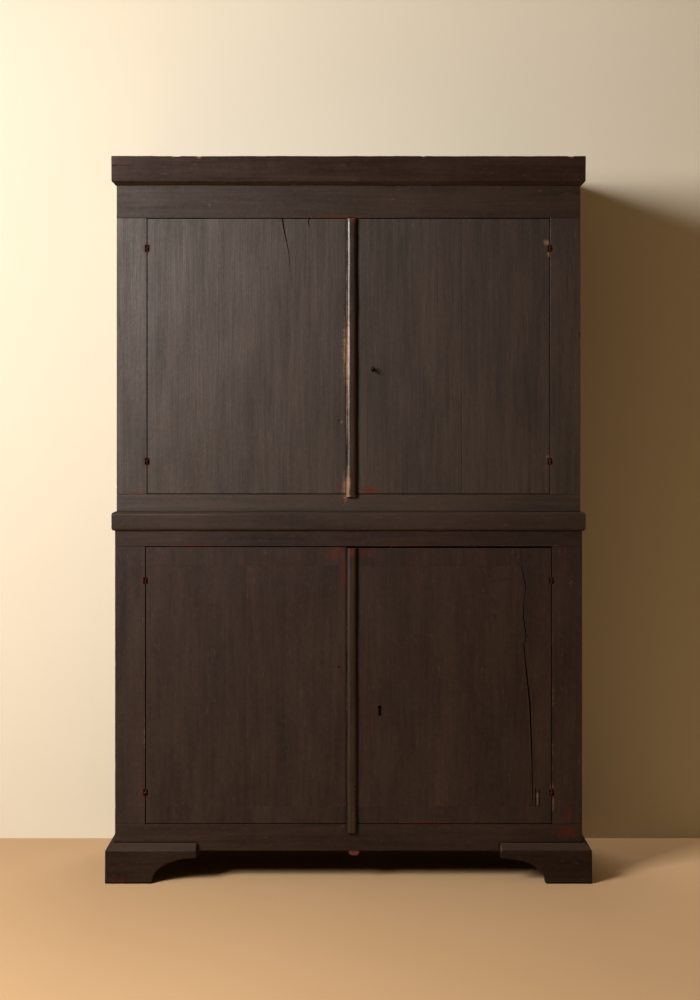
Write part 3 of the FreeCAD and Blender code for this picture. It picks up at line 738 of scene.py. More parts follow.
RUBS = {
    Stage.UPPER: (
        Rub(-556, 1747, 15, 18, 1.0),
        Rub(-556, 1157, 15, 26, 1.0),
        Rub(556, 1747, 16, 20, 0.95),
        Rub(556, 1159, 16, 20, 0.95),
        Rub(547, 1762, 9, 11, 0.75, Layer.WOOD),
        Rub(552, 1731, 6, 12, 0.65, Layer.WOOD),
        Rub(549, 1172, 7, 8, 0.55, Layer.WOOD),
        Rub(-25, 1832, 110, 9, 0.85),
        Rub(60, 1079, 34, 18, 1.0),
        Rub(-22, 1090, 22, 40, 0.6),
        Rub(-20, 1268, 8, 8, 0.55, Layer.WOOD),
        Rub(-10, 1460, 9, 100, 0.75, Layer.WOOD),
        Rub(-10, 1090, 9, 60, 0.7, Layer.WOOD),
        Rub(-357, 1740, 1.6, 110, 0.55, Layer.WOOD),
        Rub(28, 1433, 8, 50, 0.6),
        Rub(-590, 1072, 60, 10, 0.6),
        Rub(-462, 1997, 12, 3.5, 0.9),
        Rub(-412, 1996, 7, 4, 1.0, Layer.WOOD),
        Rub(-417, 1966, 3, 7, 0.6, Layer.WOOD),
        Rub(-373, 1969, 6, 8, 0.5, Layer.WOOD),
        Rub(-382, 1868, 8, 14, 0.45, Layer.WOOD),
        Rub(-640, 1975, 16, 3, 0.7),
    ),
    Stage.LOWER: (
        Rub(-560, 830, 14, 18, 0.95),
        Rub(-560, 244, 15, 24, 1.0),
        Rub(560, 830, 14, 18, 0.9),
        Rub(560, 244, 16, 24, 0.95),
        Rub(-28, 905, 46, 32, 0.75),
        Rub(-16, 850, 22, 60, 0.75),
        Rub(46, 907, 34, 16, 0.75),
        Rub(210, 163, 105, 7, 0.9),
        Rub(602, 137, 44, 22, 0.9),
        Rub(604, 190, 20, 42, 0.6),
        Rub(-625, 14, 56, 20, 0.65),
        Rub(-420, 926, 160, 6, 0.7),
        Rub(150, 926, 120, 6, 0.7),
        Rub(63, 425, 9, 24, 0.65),
        Rub(561, 690, 4, 80, 0.42, Layer.WOOD),
        Rub(564, 515, 5, 62, 0.42, Layer.WOOD),
        Rub(562, 352, 4, 66, 0.42, Layer.WOOD),
        Rub(561, 262, 8, 16, 0.75, Layer.WOOD),
        Rub(563, 212, 5, 34, 0.6, Layer.WOOD),
        Rub(521, 230, 3.4, 24, 0.75, Layer.WOOD),
        Rub(420, 98, 4, 14, 0.6, Layer.WOOD),
        Rub(-563, 590, 3, 60, 0.42, Layer.WOOD),
        Rub(-563, 400, 3, 90, 0.45, Layer.WOOD),
    ),
}
SHOULDERS = {
    Stage.UPPER: (
        Rub(-6, 1640, 4, 210, 0.7, Layer.WOOD),
        Rub(-4, 1440, 8, 130, 1.0, Layer.WOOD),
        Rub(-6, 1290, 5, 110, 0.8, Layer.WOOD),
        Rub(-3, 1092, 9, 56, 1.0, Layer.WOOD),
        Rub(12, 1826, 30, 12, 0.8),
    ),
    Stage.LOWER: (
        Rub(-6, 600, 2.5, 220, 0.55, Layer.WOOD),
        Rub(8, 912, 26, 14, 0.8),
    ),
}


@dataclass(frozen=True)
class OldPaint:
    """Black oil paint, brushed thin over an iron-red ground on softwood and waxed.

    The brush leaves fine streaks along the grain, the wax gives a broad grey sheen that follows them,
    and arrises and handled places are rubbed through in broken patches, to the red and then to the wood.
    Sizes in pairs are across and along the grain.
    """

    name: str
    grain: Grain
    rubs: tuple[Rub, ...]
    settled: str = "#130c06"
    thin: str = "#2b1c11"
    ground: str = "#4c1d10"
    wood: str = "#93715a"
    dust: str = "#5a4a3e"
    smoke: str = "#221f1b"
    # dark colour of the painted shade and grime in gaps and inner corners
    soot: str = "#070504"
    smoky: float = 0.0
    streak_mm: tuple[float, float] = (11.0, 230.0)
    fibre_mm: tuple[float, float] = (4.5, 110.0)
    cloud_mm: tuple[float, float] = (80.0, 300.0)
    scuff_mm: tuple[float, float] = (7.0, 34.0)
    grime_mm: float = 16.0
    knock_mm: float = 55.0
    haze_mm: float = 230.0
    speck_mm: float = 4.0
    arris_mm: float = 3.5
    # how far the painted shade in corners reaches
    corner_mm: float = 12.0
    board_spread: float = 9.0
    brush: float = 1.05
    mottle: float = 0.7
    wear: float = 0.25
    bare: float = 0.3
    roughness: float = 0.46
    sheen: tuple[float, float] = (0.35, 0.9)
    # how much each pattern counts in the brush marks
    streak_share: float = 1.7
    fibre_share: float = 0.4
    cloud_share: float = 1.1
    grime_share: float = 0.6
    # how much each breaks worn places, and these breaks then tell on arrises and in rubbed places
    grime_break: float = 2.2
    fibre_break: float = 1.0
    arris_break: float = 0.5
    patch_break: float = 0.65
    # how far an arris is from being worn, and how much wear and knocks bring it nearer
    arris_level: float = -0.75
    wear_share: float = 0.55
    knock_share: float = 1.4
    haze_range: tuple[float, float] = (0.45, 0.62)
    wood_range: tuple[float, float] = (0.62, 0.8)
    wood_pull: float = 0.4
    rub_range: tuple[float, float] = (1.5, 0.2)
    speck_span: Span = (0.7, 0.8, 0.0, 0.4)
    lying_span: Span = (0.45, 1.0, 0.0, 0.5)
    scuff_span: Span = (0.61, 0.78, 0.0, 0.5)
    corner_span: Span = (0.82, 0.5, 0.0, 0.85)
    arris_span: Span = (0.985, 0.86, 0.0, 1.0)
    ground_span: Span = (0.12, 0.45, 0.0, 0.85)
    patch_span: Span = (0.3, 1.15, 0.0, 0.85)
    wax_span: Span = (0.0, 1.0, 1.0, 0.15)
    # how much rougher than the whole the settled and the thin paint are, and worn places than both
    gloss_spread: tuple[float, float] = (0.05, -0.04)
    worn_gloss: float = 0.2
    # how high each stands beside the fibres
    streak_height: float = 1.2
    grime_height: float = 1.4
    worn_height: float = -0.8
    relief: float = 0.5
    relief_mm: float = 0.4

    def make(self) -> Finish:
        """Mixes the finish.

        Returns:
            The material.
        """
        mix = Recipe(self.name)
        board = mix.board(self.board_spread)
        along = self.grain.repeats
        streak = mix.noise(along(*self.streak_mm), detail=4.0, roughness=0.6, board=board, waver=0.35)
        fibre = mix.noise(along(*self.fibre_mm), detail=3.0, roughness=0.6, board=board)
        cloud = mix.noise(along(*self.cloud_mm), detail=3.0, board=board)
        grime = mix.noise(self.grime_mm, detail=5.0, roughness=0.7)
        # brush marks and mottling together, mostly between 0 and 1
        brushed = ((streak, self.streak_share * self.brush), (fibre, self.fibre_share * self.brush))
        mottled = ((cloud, self.cloud_share * self.mottle), (grime, self.grime_share * self.mottle))
        marks = mix.span(mix.about(0.5, *brushed, *mottled), 0.0, 1.0)
        colour = mix.blend(marks, self.settled, self.thin)
        haze = mix.span(mix.noise(self.haze_mm, detail=2.0), *self.haze_range, high=self.smoky)
        colour = mix.blend(haze, colour, self.smoke)
        # dust and scuffs; on faces that look up the dust colour is also painted light from above
        colour = mix.blend(self.dusted(mix), colour, self.dust)
        # what breaks worn places into patches, about -0.5 to 0.5
        breaks = mix.about(0.0, (grime, self.grime_break), (fibre, self.fibre_break))
        worn = self.worn(mix, breaks)
        colour = mix.blend(worn[Layer.GROUND], colour, self.ground)
        colour = mix.blend(worn[Layer.WOOD], colour, self.wood)
        # painted shade, with grime, darkens gaps and inner corners
        painted_corner_shade = add(mix.tree, "ShaderNodeAmbientOcclusion", {"Distance": self.corner_mm * MM}, samples=6)
        painted_corner_shade = mix.span(painted_corner_shade.outputs["AO"], *self.corner_span)
        colour = mix.blend(painted_corner_shade, colour, self.soot)
        gloss = mix.span(marks, 0.0, 1.0, *(self.roughness + more for more in self.gloss_spread))
        # wax stays off worn places and off the painted shade in corners
        dull = mix.reckon(Sum.LARGER, worn[Layer.GROUND], painted_corner_shade)
        kept = mix.span(dull, *self.wax_span)
        wax = mix.reckon(Sum.TIMES, mix.span(marks, 0.0, 1.0, *self.sheen), kept)
        heights = ((streak, self.streak_height), (grime, self.grime_height))
        height = mix.pile(fibre, *heights, (worn[Layer.GROUND], self.worn_height))
        shader = mix.shader(
            {
                "Base Color": colour,
                "Roughness": mix.pile(gloss, (worn[Layer.GROUND], self.worn_gloss)),
                "Specular IOR Level": wax,
                "Normal": mix.relief(height, self.relief, self.relief_mm),
                "IOR": 1.5,
            }
        )
        return mix.close(shader)

    def dusted(self, mix: Recipe) -> Node:
        """Finds where dust and scuffs lie: in specks, in short marks, and on what looks up, where it is also
        painted light from above.

        Args:
            mix: The finish.

        Returns:
            How much of them is seen.
        """
        # specks are drawn coarser than real ones, so that they still show
        specks = mix.span(mix.noise(self.speck_mm, detail=1.0), *self.speck_span)
        upward = add(mix.tree, "ShaderNodeSeparateXYZ", {0: mix.surface.outputs["Normal"]}).outputs["Z"]
        scuffs = mix.noise(self.grain.repeats(*self.scuff_mm), detail=4.0, roughness=0.75)
        # faces that look up take the dust colour, as dust and as painted light from above
        lying = mix.reckon(Sum.LARGER, specks, mix.span(upward, *self.lying_span))
        return mix.reckon(Sum.LARGER, lying, mix.span(scuffs, *self.scuff_span))

    def worn(self, mix: Recipe, breaks: Node) -> dict[Layer, Node]:
        """Finds how much of each layer below the paint is seen.

        Args:
            mix: The finish.
            breaks: What breaks worn places into patches.

        Returns:
            The share of each layer.
        """
        # arrises: where a rounded copy of the surface turns away from the real one
        rounded = add(mix.tree, "ShaderNodeBevel", {"Radius": self.arris_mm * MM}, samples=4)
        both = {0: rounded, 1: mix.surface.outputs["Normal"]}
        turned = add(mix.tree, "ShaderNodeVectorMath", both, operation="DOT_PRODUCT").outputs["Value"]
        knocks = mix.noise(self.knock_mm, detail=4.0, roughness=0.7)
        level = self.wear_share * self.wear + self.arris_level
        edge = mix.pile(level, (knocks, self.knock_share), (breaks, self.arris_break))
        edge = mix.reckon(Sum.TIMES, edge, mix.span(turned, *self.arris_span))
        start, end = self.wood_range
        worn = {
            Layer.GROUND: mix.span(edge, *self.ground_span),
            Layer.WOOD: mix.span(edge, start - self.wood_pull * self.bare, end, high=self.bare),
        }
        for layer, reach in self.rubbed(mix).items():
            broken = mix.pile(reach, (breaks, self.patch_break))
            patch = mix.span(broken, *self.patch_span, eased=True)
            worn[layer] = mix.reckon(Sum.LARGER, worn[layer], patch)
        return worn

    def rubbed(self, mix: Recipe) -> dict[Layer, Node]:
        """Finds the rubbed places.

        Args:
            mix: The finish.

        Returns:
            How strongly each layer is rubbed free, for the layers that are.
        """
        reaches: dict[Layer, Node] = {}
        for rub in self.rubs:
            sizes = {
                "Scale": (1 / (rub.half_width * MM), 0.0, 1 / (rub.half_height * MM)),
                "Location": (-rub.x / rub.half_width, 0.0, -rub.z / rub.half_height),
            }
            spot = add(mix.tree, "ShaderNodeMapping", {"Vector": mix.place} | sizes)
            away = add(mix.tree, "ShaderNodeVectorMath", {0: spot}, operation="LENGTH").outputs["Value"]
            reach = mix.span(away, *self.rub_range, high=rub.strength)
            if rub.layer in reaches:
                reach = mix.reckon(Sum.LARGER, reaches[rub.layer], reach)
            reaches[rub.layer] = reach
        return reaches


@dataclass(frozen=True)
class BareWood:
    """Old unpainted softwood: planed, browned by air and dust, with dark late-wood lines."""

    name: str
    grain: Grain
    pale: str = "#8d6a45"
    late: str = "#68492e"
    dust: str = "#4a382a"
    dusty: float = 0.35
    figure_mm: tuple[float, float] = (42.0, 900.0)
    fibre_mm: tuple[float, float] = (1.8, 90.0)
    cloud_mm: float = 210.0
    rings: float = 14.0
    board_spread: float = 23.0
    roughness: float = 0.72
    # how much rougher than the whole the smooth and the rough fibres are
    gloss_spread: tuple[float, float] = (-0.08, 0.1)
    gloss_range: tuple[float, float] = (0.3, 0.7)
    line_span: Span = (0.3, 1.0, 0.0, 0.6)
    soil_range: tuple[float, float] = (0.35, 0.75)
    # what share of the soil lies in the cleanest place, and how much more one board has than another
    least_soil: float = 0.3
    board_soil: float = 0.25
    fibre_share: float = 0.5
    relief: float = 0.4
    relief_mm: float = 0.4

    def make(self) -> Finish:
        """Mixes the finish.

        Returns:
            The material.
        """
        mix = Recipe(self.name)
        board = mix.board(self.board_spread)
        along = self.grain.repeats
        figure = mix.noise(along(*self.figure_mm), detail=2.0, roughness=0.45, board=board)
        bands = mix.reckon(Sum.TO_AND_FRO, mix.reckon(Sum.TIMES, figure, self.rings), 1.0)
        fibre = mix.noise(along(*self.fibre_mm), detail=3.0)
        line = mix.pile(mix.span(bands, *self.line_span, eased=True), (fibre, self.fibre_share))
        cloud = mix.noise(self.cloud_mm, detail=4.0)
        soil = mix.span(cloud, *self.soil_range, self.least_soil * self.dusty, self.dusty)
        soil = mix.pile(soil, (mix.surface.outputs["Random Per Island"], self.board_soil))
        colour = mix.blend(soil, mix.blend(line, self.pale, self.late), self.dust)
        gloss = [self.roughness + more for more in self.gloss_spread]
        shader = mix.shader(
            {
                "Base Color": colour,
                "Roughness": mix.span(fibre, *self.gloss_range, *gloss),
                "Normal": mix.relief(fibre, self.relief, self.relief_mm),
                "IOR": 1.5,
            }
        )
        return mix.close(shader)


@dataclass(frozen=True)
class ForgedIron:
    """Hand-forged iron, blackened and rusted: dull metal with brown bloom and hammer facets."""

    name: str
    metal: str = "#3b3632"
    rust: str = "#5c3420"
    rusted: float = 0.6
    bloom_mm: float = 9.0
    facet_mm: float = 7.0
    # of the metal, and of the rust
    metallic: tuple[float, float] = (0.9, 0.15)
    roughness: tuple[float, float] = (0.48, 0.85)
    rust_range: tuple[float, float] = (0.62, 0.72)
    rust_pull: float = 0.3
    bloom_height: float = 0.6
    relief: float = 0.4
    relief_mm: float = 0.3

    def make(self) -> Finish:
        """Mixes the finish.

        Returns:
            The material.
        """
        mix = Recipe(self.name)
        bloom = mix.noise(self.bloom_mm, detail=5.0, roughness=0.7)
        start, end = self.rust_range
        rusty = mix.span(bloom, start - self.rust_pull * self.rusted, end, eased=True)
        sizes = {"Vector": mix.place, "Scale": 1 / (self.facet_mm * MM)}
        facets = add(mix.tree, "ShaderNodeTexVoronoi", sizes, feature="SMOOTH_F1")
        height = mix.pile(facets, (bloom, self.bloom_height))
        shader = mix.shader(
            {
                "Base Color": mix.blend(rusty, self.metal, self.rust),
                "Metallic": mix.span(rusty, 0.0, 1.0, *self.metallic),
                "Roughness": mix.span(rusty, 0.0, 1.0, *self.roughness),
                "Normal": mix.relief(height, self.relief, self.relief_mm),
            }
        )
        return mix.close(shader)


@dataclass(frozen=True)
class Distemper:
    """Plain matt wash of the studio's wall and floor, with a faint unevenness and nothing more."""

    name: str
    colour: str
    shade: str
    roughness: float = 0.9
    cloud_mm: float = 2500 / 3
    one_sided: bool = False

    def make(self) -> Finish:
        """Mixes the finish.

        Returns:
            The material.
        """
        mix = Recipe(self.name)
        colour = mix.blend(mix.noise(self.cloud_mm, detail=3.0), self.colour, self.shade)
        shader = mix.shader({"Base Color": colour, "Roughness": self.roughness})
        if self.one_sided:
            clear = add(mix.tree, "ShaderNodeBsdfTransparent")
            sides = {0: mix.surface.outputs["Backfacing"], 1: shader, 2: clear}
            shader = add(mix.tree, "ShaderNodeMixShader", sides)
        return mix.close(shader)


class Palette:
    """The finishes of the cupboard, each mixed once."""

    def __init__(self) -> None:
        """Mixes every finish."""
        upright = {
            Stage.UPPER: {"roughness": 0.48, "sheen": (0.46, 1.0), "brush": 0.7, "mottle": 0.95},
            Stage.LOWER: {
                "roughness": 0.47,
                "sheen": (0.25, 0.62),
                "brush": 0.45,
                "mottle": 1.1,
                "settled": "#110806",
                "thin": "#27130b",
                "smoke": "#1b1613",
                "smoky": 0.25,
            },
        }
        lying = {"sheen": (0.2, 0.54), "brush": 0.55, "mottle": 0.9}
        shaped = {"brush": 0.5, "mottle": 0.8, "roughness": 0.52}
        moulding = {
            Stage.UPPER: {"thin": "#2e1c13", "sheen": (0.05, 0.32), "wear": 0.5},
            Stage.LOWER: {"thin": "#28150c", "sheen": (0.22, 0.62), "wear": 0.5},
        }
        feet = {"thin": "#29180f", "sheen": (0.06, 0.34), "wear": 0.75}
        strip = {
            Stage.UPPER: {"bare": 0.75, "roughness": 0.34, "sheen": (0.5, 1.0), "wear": 0.8},
            Stage.LOWER: {"bare": 0.4, "roughness": 0.42, "sheen": (0.25, 0.6), "wear": 0.8},
        }
        self.paints: dict[tuple[Stage, Grain], Finish] = {}
        self.moulding: dict[tuple[Stage, Grain], Finish] = {}
        self.strip: dict[Stage, Finish] = {}
        for stage in Stage:
            for grain in (Grain.UPRIGHT, Grain.ACROSS):
                looks = upright[stage] if grain is Grain.UPRIGHT else upright[stage] | lying
                self.paints[stage, grain] = self.black(f"{stage.word}_{grain.word}", grain, stage, looks)
            for grain in (Grain.ACROSS, Grain.DEEP):
                place = f"{stage.word}_moulding_{grain.word}"
                self.moulding[stage, grain] = self.black(place, grain, stage, shaped | moulding[stage])
            worn = strip[stage] | {"rubs": RUBS[stage] + SHOULDERS[stage]}
            self.strip[stage] = self.black(f"{stage.word}_strip", Grain.UPRIGHT, stage, worn)
        rail = lying | {"sheen": (0.4, 0.95)}
        self.rail = self.black("upper_rail", Grain.ACROSS, Stage.UPPER, rail)
        self.feet = {
            grain: self.black(f"feet_{grain.word}", grain, Stage.LOWER, shaped | feet)
            for grain in (Grain.ACROSS, Grain.DEEP)
        }
        self.bare = {grain: BareWood(f"bare_softwood_{grain.word}", grain).make() for grain in Grain}
        self.dusty = BareWood(
            "dusty_softwood_top", Grain.ACROSS, pale="#5f4a36", late="#3d2c1f", dusty=0.6
        ).make()
        # dark wood for undersides and faces under the case: grime, and painted shade under the case
        self.soiled = BareWood(
            "soiled_softwood_underside", Grain.ACROSS, pale="#33261b", late="#251a12", dust="#1d1610"
        ).make()
        self.red_wood = BareWood(
            "red_stained_wood", Grain.UPRIGHT, pale="#5e2a1b", late="#431c11", dust="#2c1710"
        ).make()
        self.iron = ForgedIron("forged_iron").make()
        self.dark_iron = ForgedIron("handled_iron", "#1c1815", "#2c1a10", 0.4).make()
        self.rusty_iron = ForgedIron("rusted_wire", "#221d1a", "#46240f", 0.9).make()

    @staticmethod
    def black(place: str, grain: Grain, stage: Stage, looks: dict) -> Finish:
        """Mixes the black paint of one kind of place.

        Args:
            place: The place's name.
            grain: The grain of the boards there.
            stage: The stage whose rubbed places it shares.
            looks: What sets it apart.

        Returns:
            The material.
        """
        return OldPaint(f"black_paint_{place}", **({"grain": grain, "rubs": RUBS[stage]} | looks)).make()


@dataclass
class Board:
    """One sawn and hand-planed board."""

    low: Vector
    high: Vector
    arris_mm: float = 1.3
    sway_mm: float = 0.35
    step_mm: float = 22.0
    flush: bool = False
    hollow_mm: float = 130.0
    ripple_mm: float = 24.0
    ripple_share: float = 0.45
    flush_ripple_mm: tuple[float, float] = (0.12, 30.0)

    def cut(self) -> Piece:
        """Saws and planes the board."""
        return self.plane(block("board", self.low, self.high))

    def plane(self, piece: Piece) -> Piece:
        """Divides a sawn blank, rounds its arrises and makes it uneven.

        Args:
            piece: The blank.

        Returns:
            The same piece.
        """
        for axis in range(3):
            divide(piece, axis, self.step_mm * MM)
        soften(piece, self.arris_mm)
        if self.flush:
            wander(piece, (self.sway_mm, self.hollow_mm), way=Stray.DEEP)
            wander(piece, self.flush_ripple_mm)
        else:
            wander(piece, (self.sway_mm, self.hollow_mm), (self.ripple_share * self.sway_mm, self.ripple_mm))
        return piece


def faces_back(normal: Vector, middle: Vector) -> bool:
    """Whether a face looks to the rear."""
    return normal.y > FACING


@dataclass
class Carcase:
    """The plain boxes behind the front: sides, bottoms, shelves, dust board, top and backs."""

    palette: Palette
    # faces of a side that turn outwards by this share are painted
    paint_wrap: float = 0.3
    rebate_lap_mm: float = 2.0
    overcut_mm: float = 5.0
    back_count: int = 5
    back_gap_mm: float = 1.2
    nail_radius_mm: float = 3.2
    nail_thick_mm: float = 1.6
    nail_rim_mm: float = 1.8
    nail_rise_mm: float = 0.6
    nail_inset_mm: float = 28.0
    nail_shares: tuple[float, float] = (0.2, 0.8)
    # the case's underside is below this height
    underside_m: float = 0.2
    plain: tuple[str, ...] = (
        "lower_bottom_board",
        "upper_bottom_board",
        "lower_shelf",
        "upper_shelf_low",
        "upper_shelf_high",
        "dust_board",
    )

    def build(self) -> None:
        """Makes and dresses the boards."""
        for stage in Stage:
            for hand in Hand:
                self.side(stage, hand)
            self.backs(stage)
        # faces that look down from under the case get the dark finish: grime and painted shade
        coats = (Coat(self.palette.bare[Grain.ACROSS]), Coat(self.palette.soiled, self.underside))
        for node in self.plain:
            piece = Board(*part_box(node), arris_mm=1.0, step_mm=40).cut()
            stand_in(piece, node, "case", "bare_wood", *coats)
        top = Board(*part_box("upper_top_board"), step_mm=30).cut()
        stand_in(top, "upper_top_board", "case", "bare_wood", Coat(self.palette.dusty))

    def underside(self, normal: Vector, middle: Vector) -> bool:
        """Whether a face looks down at the floor from under the case."""
        return normal.z < -FACING and middle.z < self.underside_m

    def side(self, stage: Stage, hand: Hand) -> None:
        """Makes one side board, painted outside, bare inside and rebated for the back.

        Args:
            stage: The stage that it is on.
            hand: The side that it is on.
        """
        node = f"{stage.word}_side_{hand.word}"
        low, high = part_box(node)
        piece = Board(low, high, arris_mm=1.6, sway_mm=0.5).cut()
        back_low, back_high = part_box(f"{stage.word}_back_boards")
        over = self.overcut_mm * MM
        inner = min(abs(low.x), abs(high.x)) - self.rebate_lap_mm * MM
        left, right = sorted((inner * hand.value, back_high.x * hand.value))
        start = (left, back_low.y, low.z - over)
        carve(piece, [block("rebate", start, (right, high.y + over, high.z + over))])
        paint = self.palette.paints[stage, Grain.UPRIGHT]
        outside = Coat(paint, lambda normal, middle: normal.x * hand.value > self.paint_wrap)
        stand_in(piece, node, "case", "painted_wood", Coat(self.palette.bare[Grain.UPRIGHT]), outside)

    def backs(self, stage: Stage) -> None:
        """Makes the upright boards of a back and the nails that hold them.

        Args:
            stage: The stage that they close.
        """
        node = f"{stage.word}_back_boards"
        low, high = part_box(node)
        width = (high.x - low.x) / self.back_count
        inset = self.nail_inset_mm * MM
        boards, nails = [], []
        for number in range(self.back_count):
            left = low.x + number * width
            start = Vector((left, low.y, low.z))
            end = Vector((left + width - self.back_gap_mm * MM, high.y, high.z))
            boards.append(Board(start, end, arris_mm=1.2, sway_mm=0.4, step_mm=36).cut())
            for share in self.nail_shares:
                for level in (low.z + inset, (low.z + high.z) / 2, high.z - inset):
                    nails.append(self.nail((left + share * width, high.y, level)))
        stand_in(joined(boards), node, "case", "bare_wood", Coat(self.palette.bare[Grain.UPRIGHT]))
        settle(joined(nails), f"{stage.word}_back_nails", "case", "iron", Coat(self.palette.rusty_iron))

    def nail(self, place: Place) -> Piece:
        """Makes a hand-made nail's flat rose head.

        Args:
            place: The middle of the head on the back, in metres.

        Returns:
            The head.
        """
        head = rod("nail", place, 1, self.nail_radius_mm * MM, self.nail_thick_mm * MM, sides=8)
        choose(head, Element.FACE, faces_back)
        bpy.ops.mesh.inset(thickness=self.nail_rim_mm * MM)
        bpy.ops.transform.translate(value=(0, self.nail_rise_mm * MM, 0))
        leave_edit()
        return head


@dataclass
class FrontFrame:
    """The stiles and rails round the doors, flush with them."""

    palette: Palette
    hinge_levels_mm: dict[Stage, tuple[float, float]] = field(
        default_factory=lambda: {Stage.LOWER: (246.0, 830.0), Stage.UPPER: (1159.0, 1747.0)}
    )
    # level and half length of the knocks on each stile's outer corner
    knocks_mm: dict[tuple[Stage, Hand], tuple[tuple[float, float], ...]] = field(
        default_factory=lambda: {
            (Stage.LOWER, Hand.LEFT): ((655.0, 16.0), (600.0, 9.0), (322.0, 20.0), (210.0, 10.0)),
            (Stage.LOWER, Hand.RIGHT): ((470.0, 14.0), (250.0, 9.0)),
            (Stage.UPPER, Hand.LEFT): ((1320.0, 12.0), (1090.0, 8.0)),
            (Stage.UPPER, Hand.RIGHT): ((1510.0, 10.0),),
        }
    )
    # the rails below and above each stage's doors
    rails: dict[Stage, tuple[str, str]] = field(
        default_factory=lambda: {
            Stage.LOWER: ("lower_bottom_rail", "lower_top_rail"),
            Stage.UPPER: ("upper_bottom_rail", "frieze_rail"),
        }
    )
    knock_depth_mm: float = 3.4
    arris_mm: float = 0.7
    joint_mm: float = 0.6
    recess_radius_mm: float = 6.6
    recess_length_mm: float = 18.4

    def build(self, axes: dict[str, Vector]) -> None:
        """Makes and dresses the frame.

        Args:
            axes: The hinge axis of each door, by joint name.
        """
        for stage, nodes in self.rails.items():
            for node in nodes:
                piece = Board(*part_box(node), arris_mm=self.arris_mm, flush=True).cut()
                waxed = node == "upper_bottom_rail"
                paint = self.palette.rail if waxed else self.palette.paints[stage, Grain.ACROSS]
                self.finish(piece, paint, Grain.ACROSS, node)
        for stage in Stage:
            for hand in Hand:
                self.stile(stage, hand, axes[f"{stage.word}_{hand.word}_door_hinge"])

    def stile(self, stage: Stage, hand: Hand, axis: Vector) -> None:
        """Makes and dresses one stile.

        Args:
            stage: The stage that it is on.
            hand: The side that it is on.
            axis: A point on the hinge axis of its door.
        """
        node = f"{stage.word}_stile_{hand.word}"
        low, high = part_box(node)
        below, above = self.rails[stage]
        low.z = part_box(below)[1].z + self.joint_mm * MM
        high.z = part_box(above)[0].z - self.joint_mm * MM
        piece = Board(low, high, arris_mm=self.arris_mm, flush=True).cut()
        corner = max(abs(low.x), abs(high.x)) * hand.value
        deep = self.knock_depth_mm * MM
        knocks = [
            pebble("knock", (corner, low.y, level * MM), (deep, deep, half * MM))
            for level, half in self.knocks_mm[stage, hand]
        ]
        carve(piece, self.recesses(stage, axis) + knocks)
        self.finish(piece, self.palette.paints[stage, Grain.UPRIGHT], Grain.UPRIGHT, node)

    def finish(self, piece: Piece, paint: Finish, grain: Grain, node: str) -> None:
        """Paints the front of a piece, leaves its back bare and sets it on the case."""
        bare = Coat(self.palette.bare[grain], faces_back)
        stand_in(piece, node, "case", "painted_wood", Coat(paint), bare)

    def recesses(self, stage: Stage, axis: Vector) -> list[Piece]:
        """Makes the tools for the round hollows of the loop hinges on one side.

        Args:
            stage: The stage that the hinges are on.
            axis: A point on the hinge axis.

        Returns:
            The tools.
        """
        sizes = (self.recess_radius_mm * MM, self.recess_length_mm * MM)
        return [rod("recess", (axis.x, axis.y, z * MM), 2, *sizes) for z in self.hinge_levels_mm[stage]]


class Run(Named):
    """The two mouldings that run round the front and the sides, and the stage that each belongs to."""

    WAIST_MOULDING = Stage.LOWER
    CORNICE = Stage.UPPER


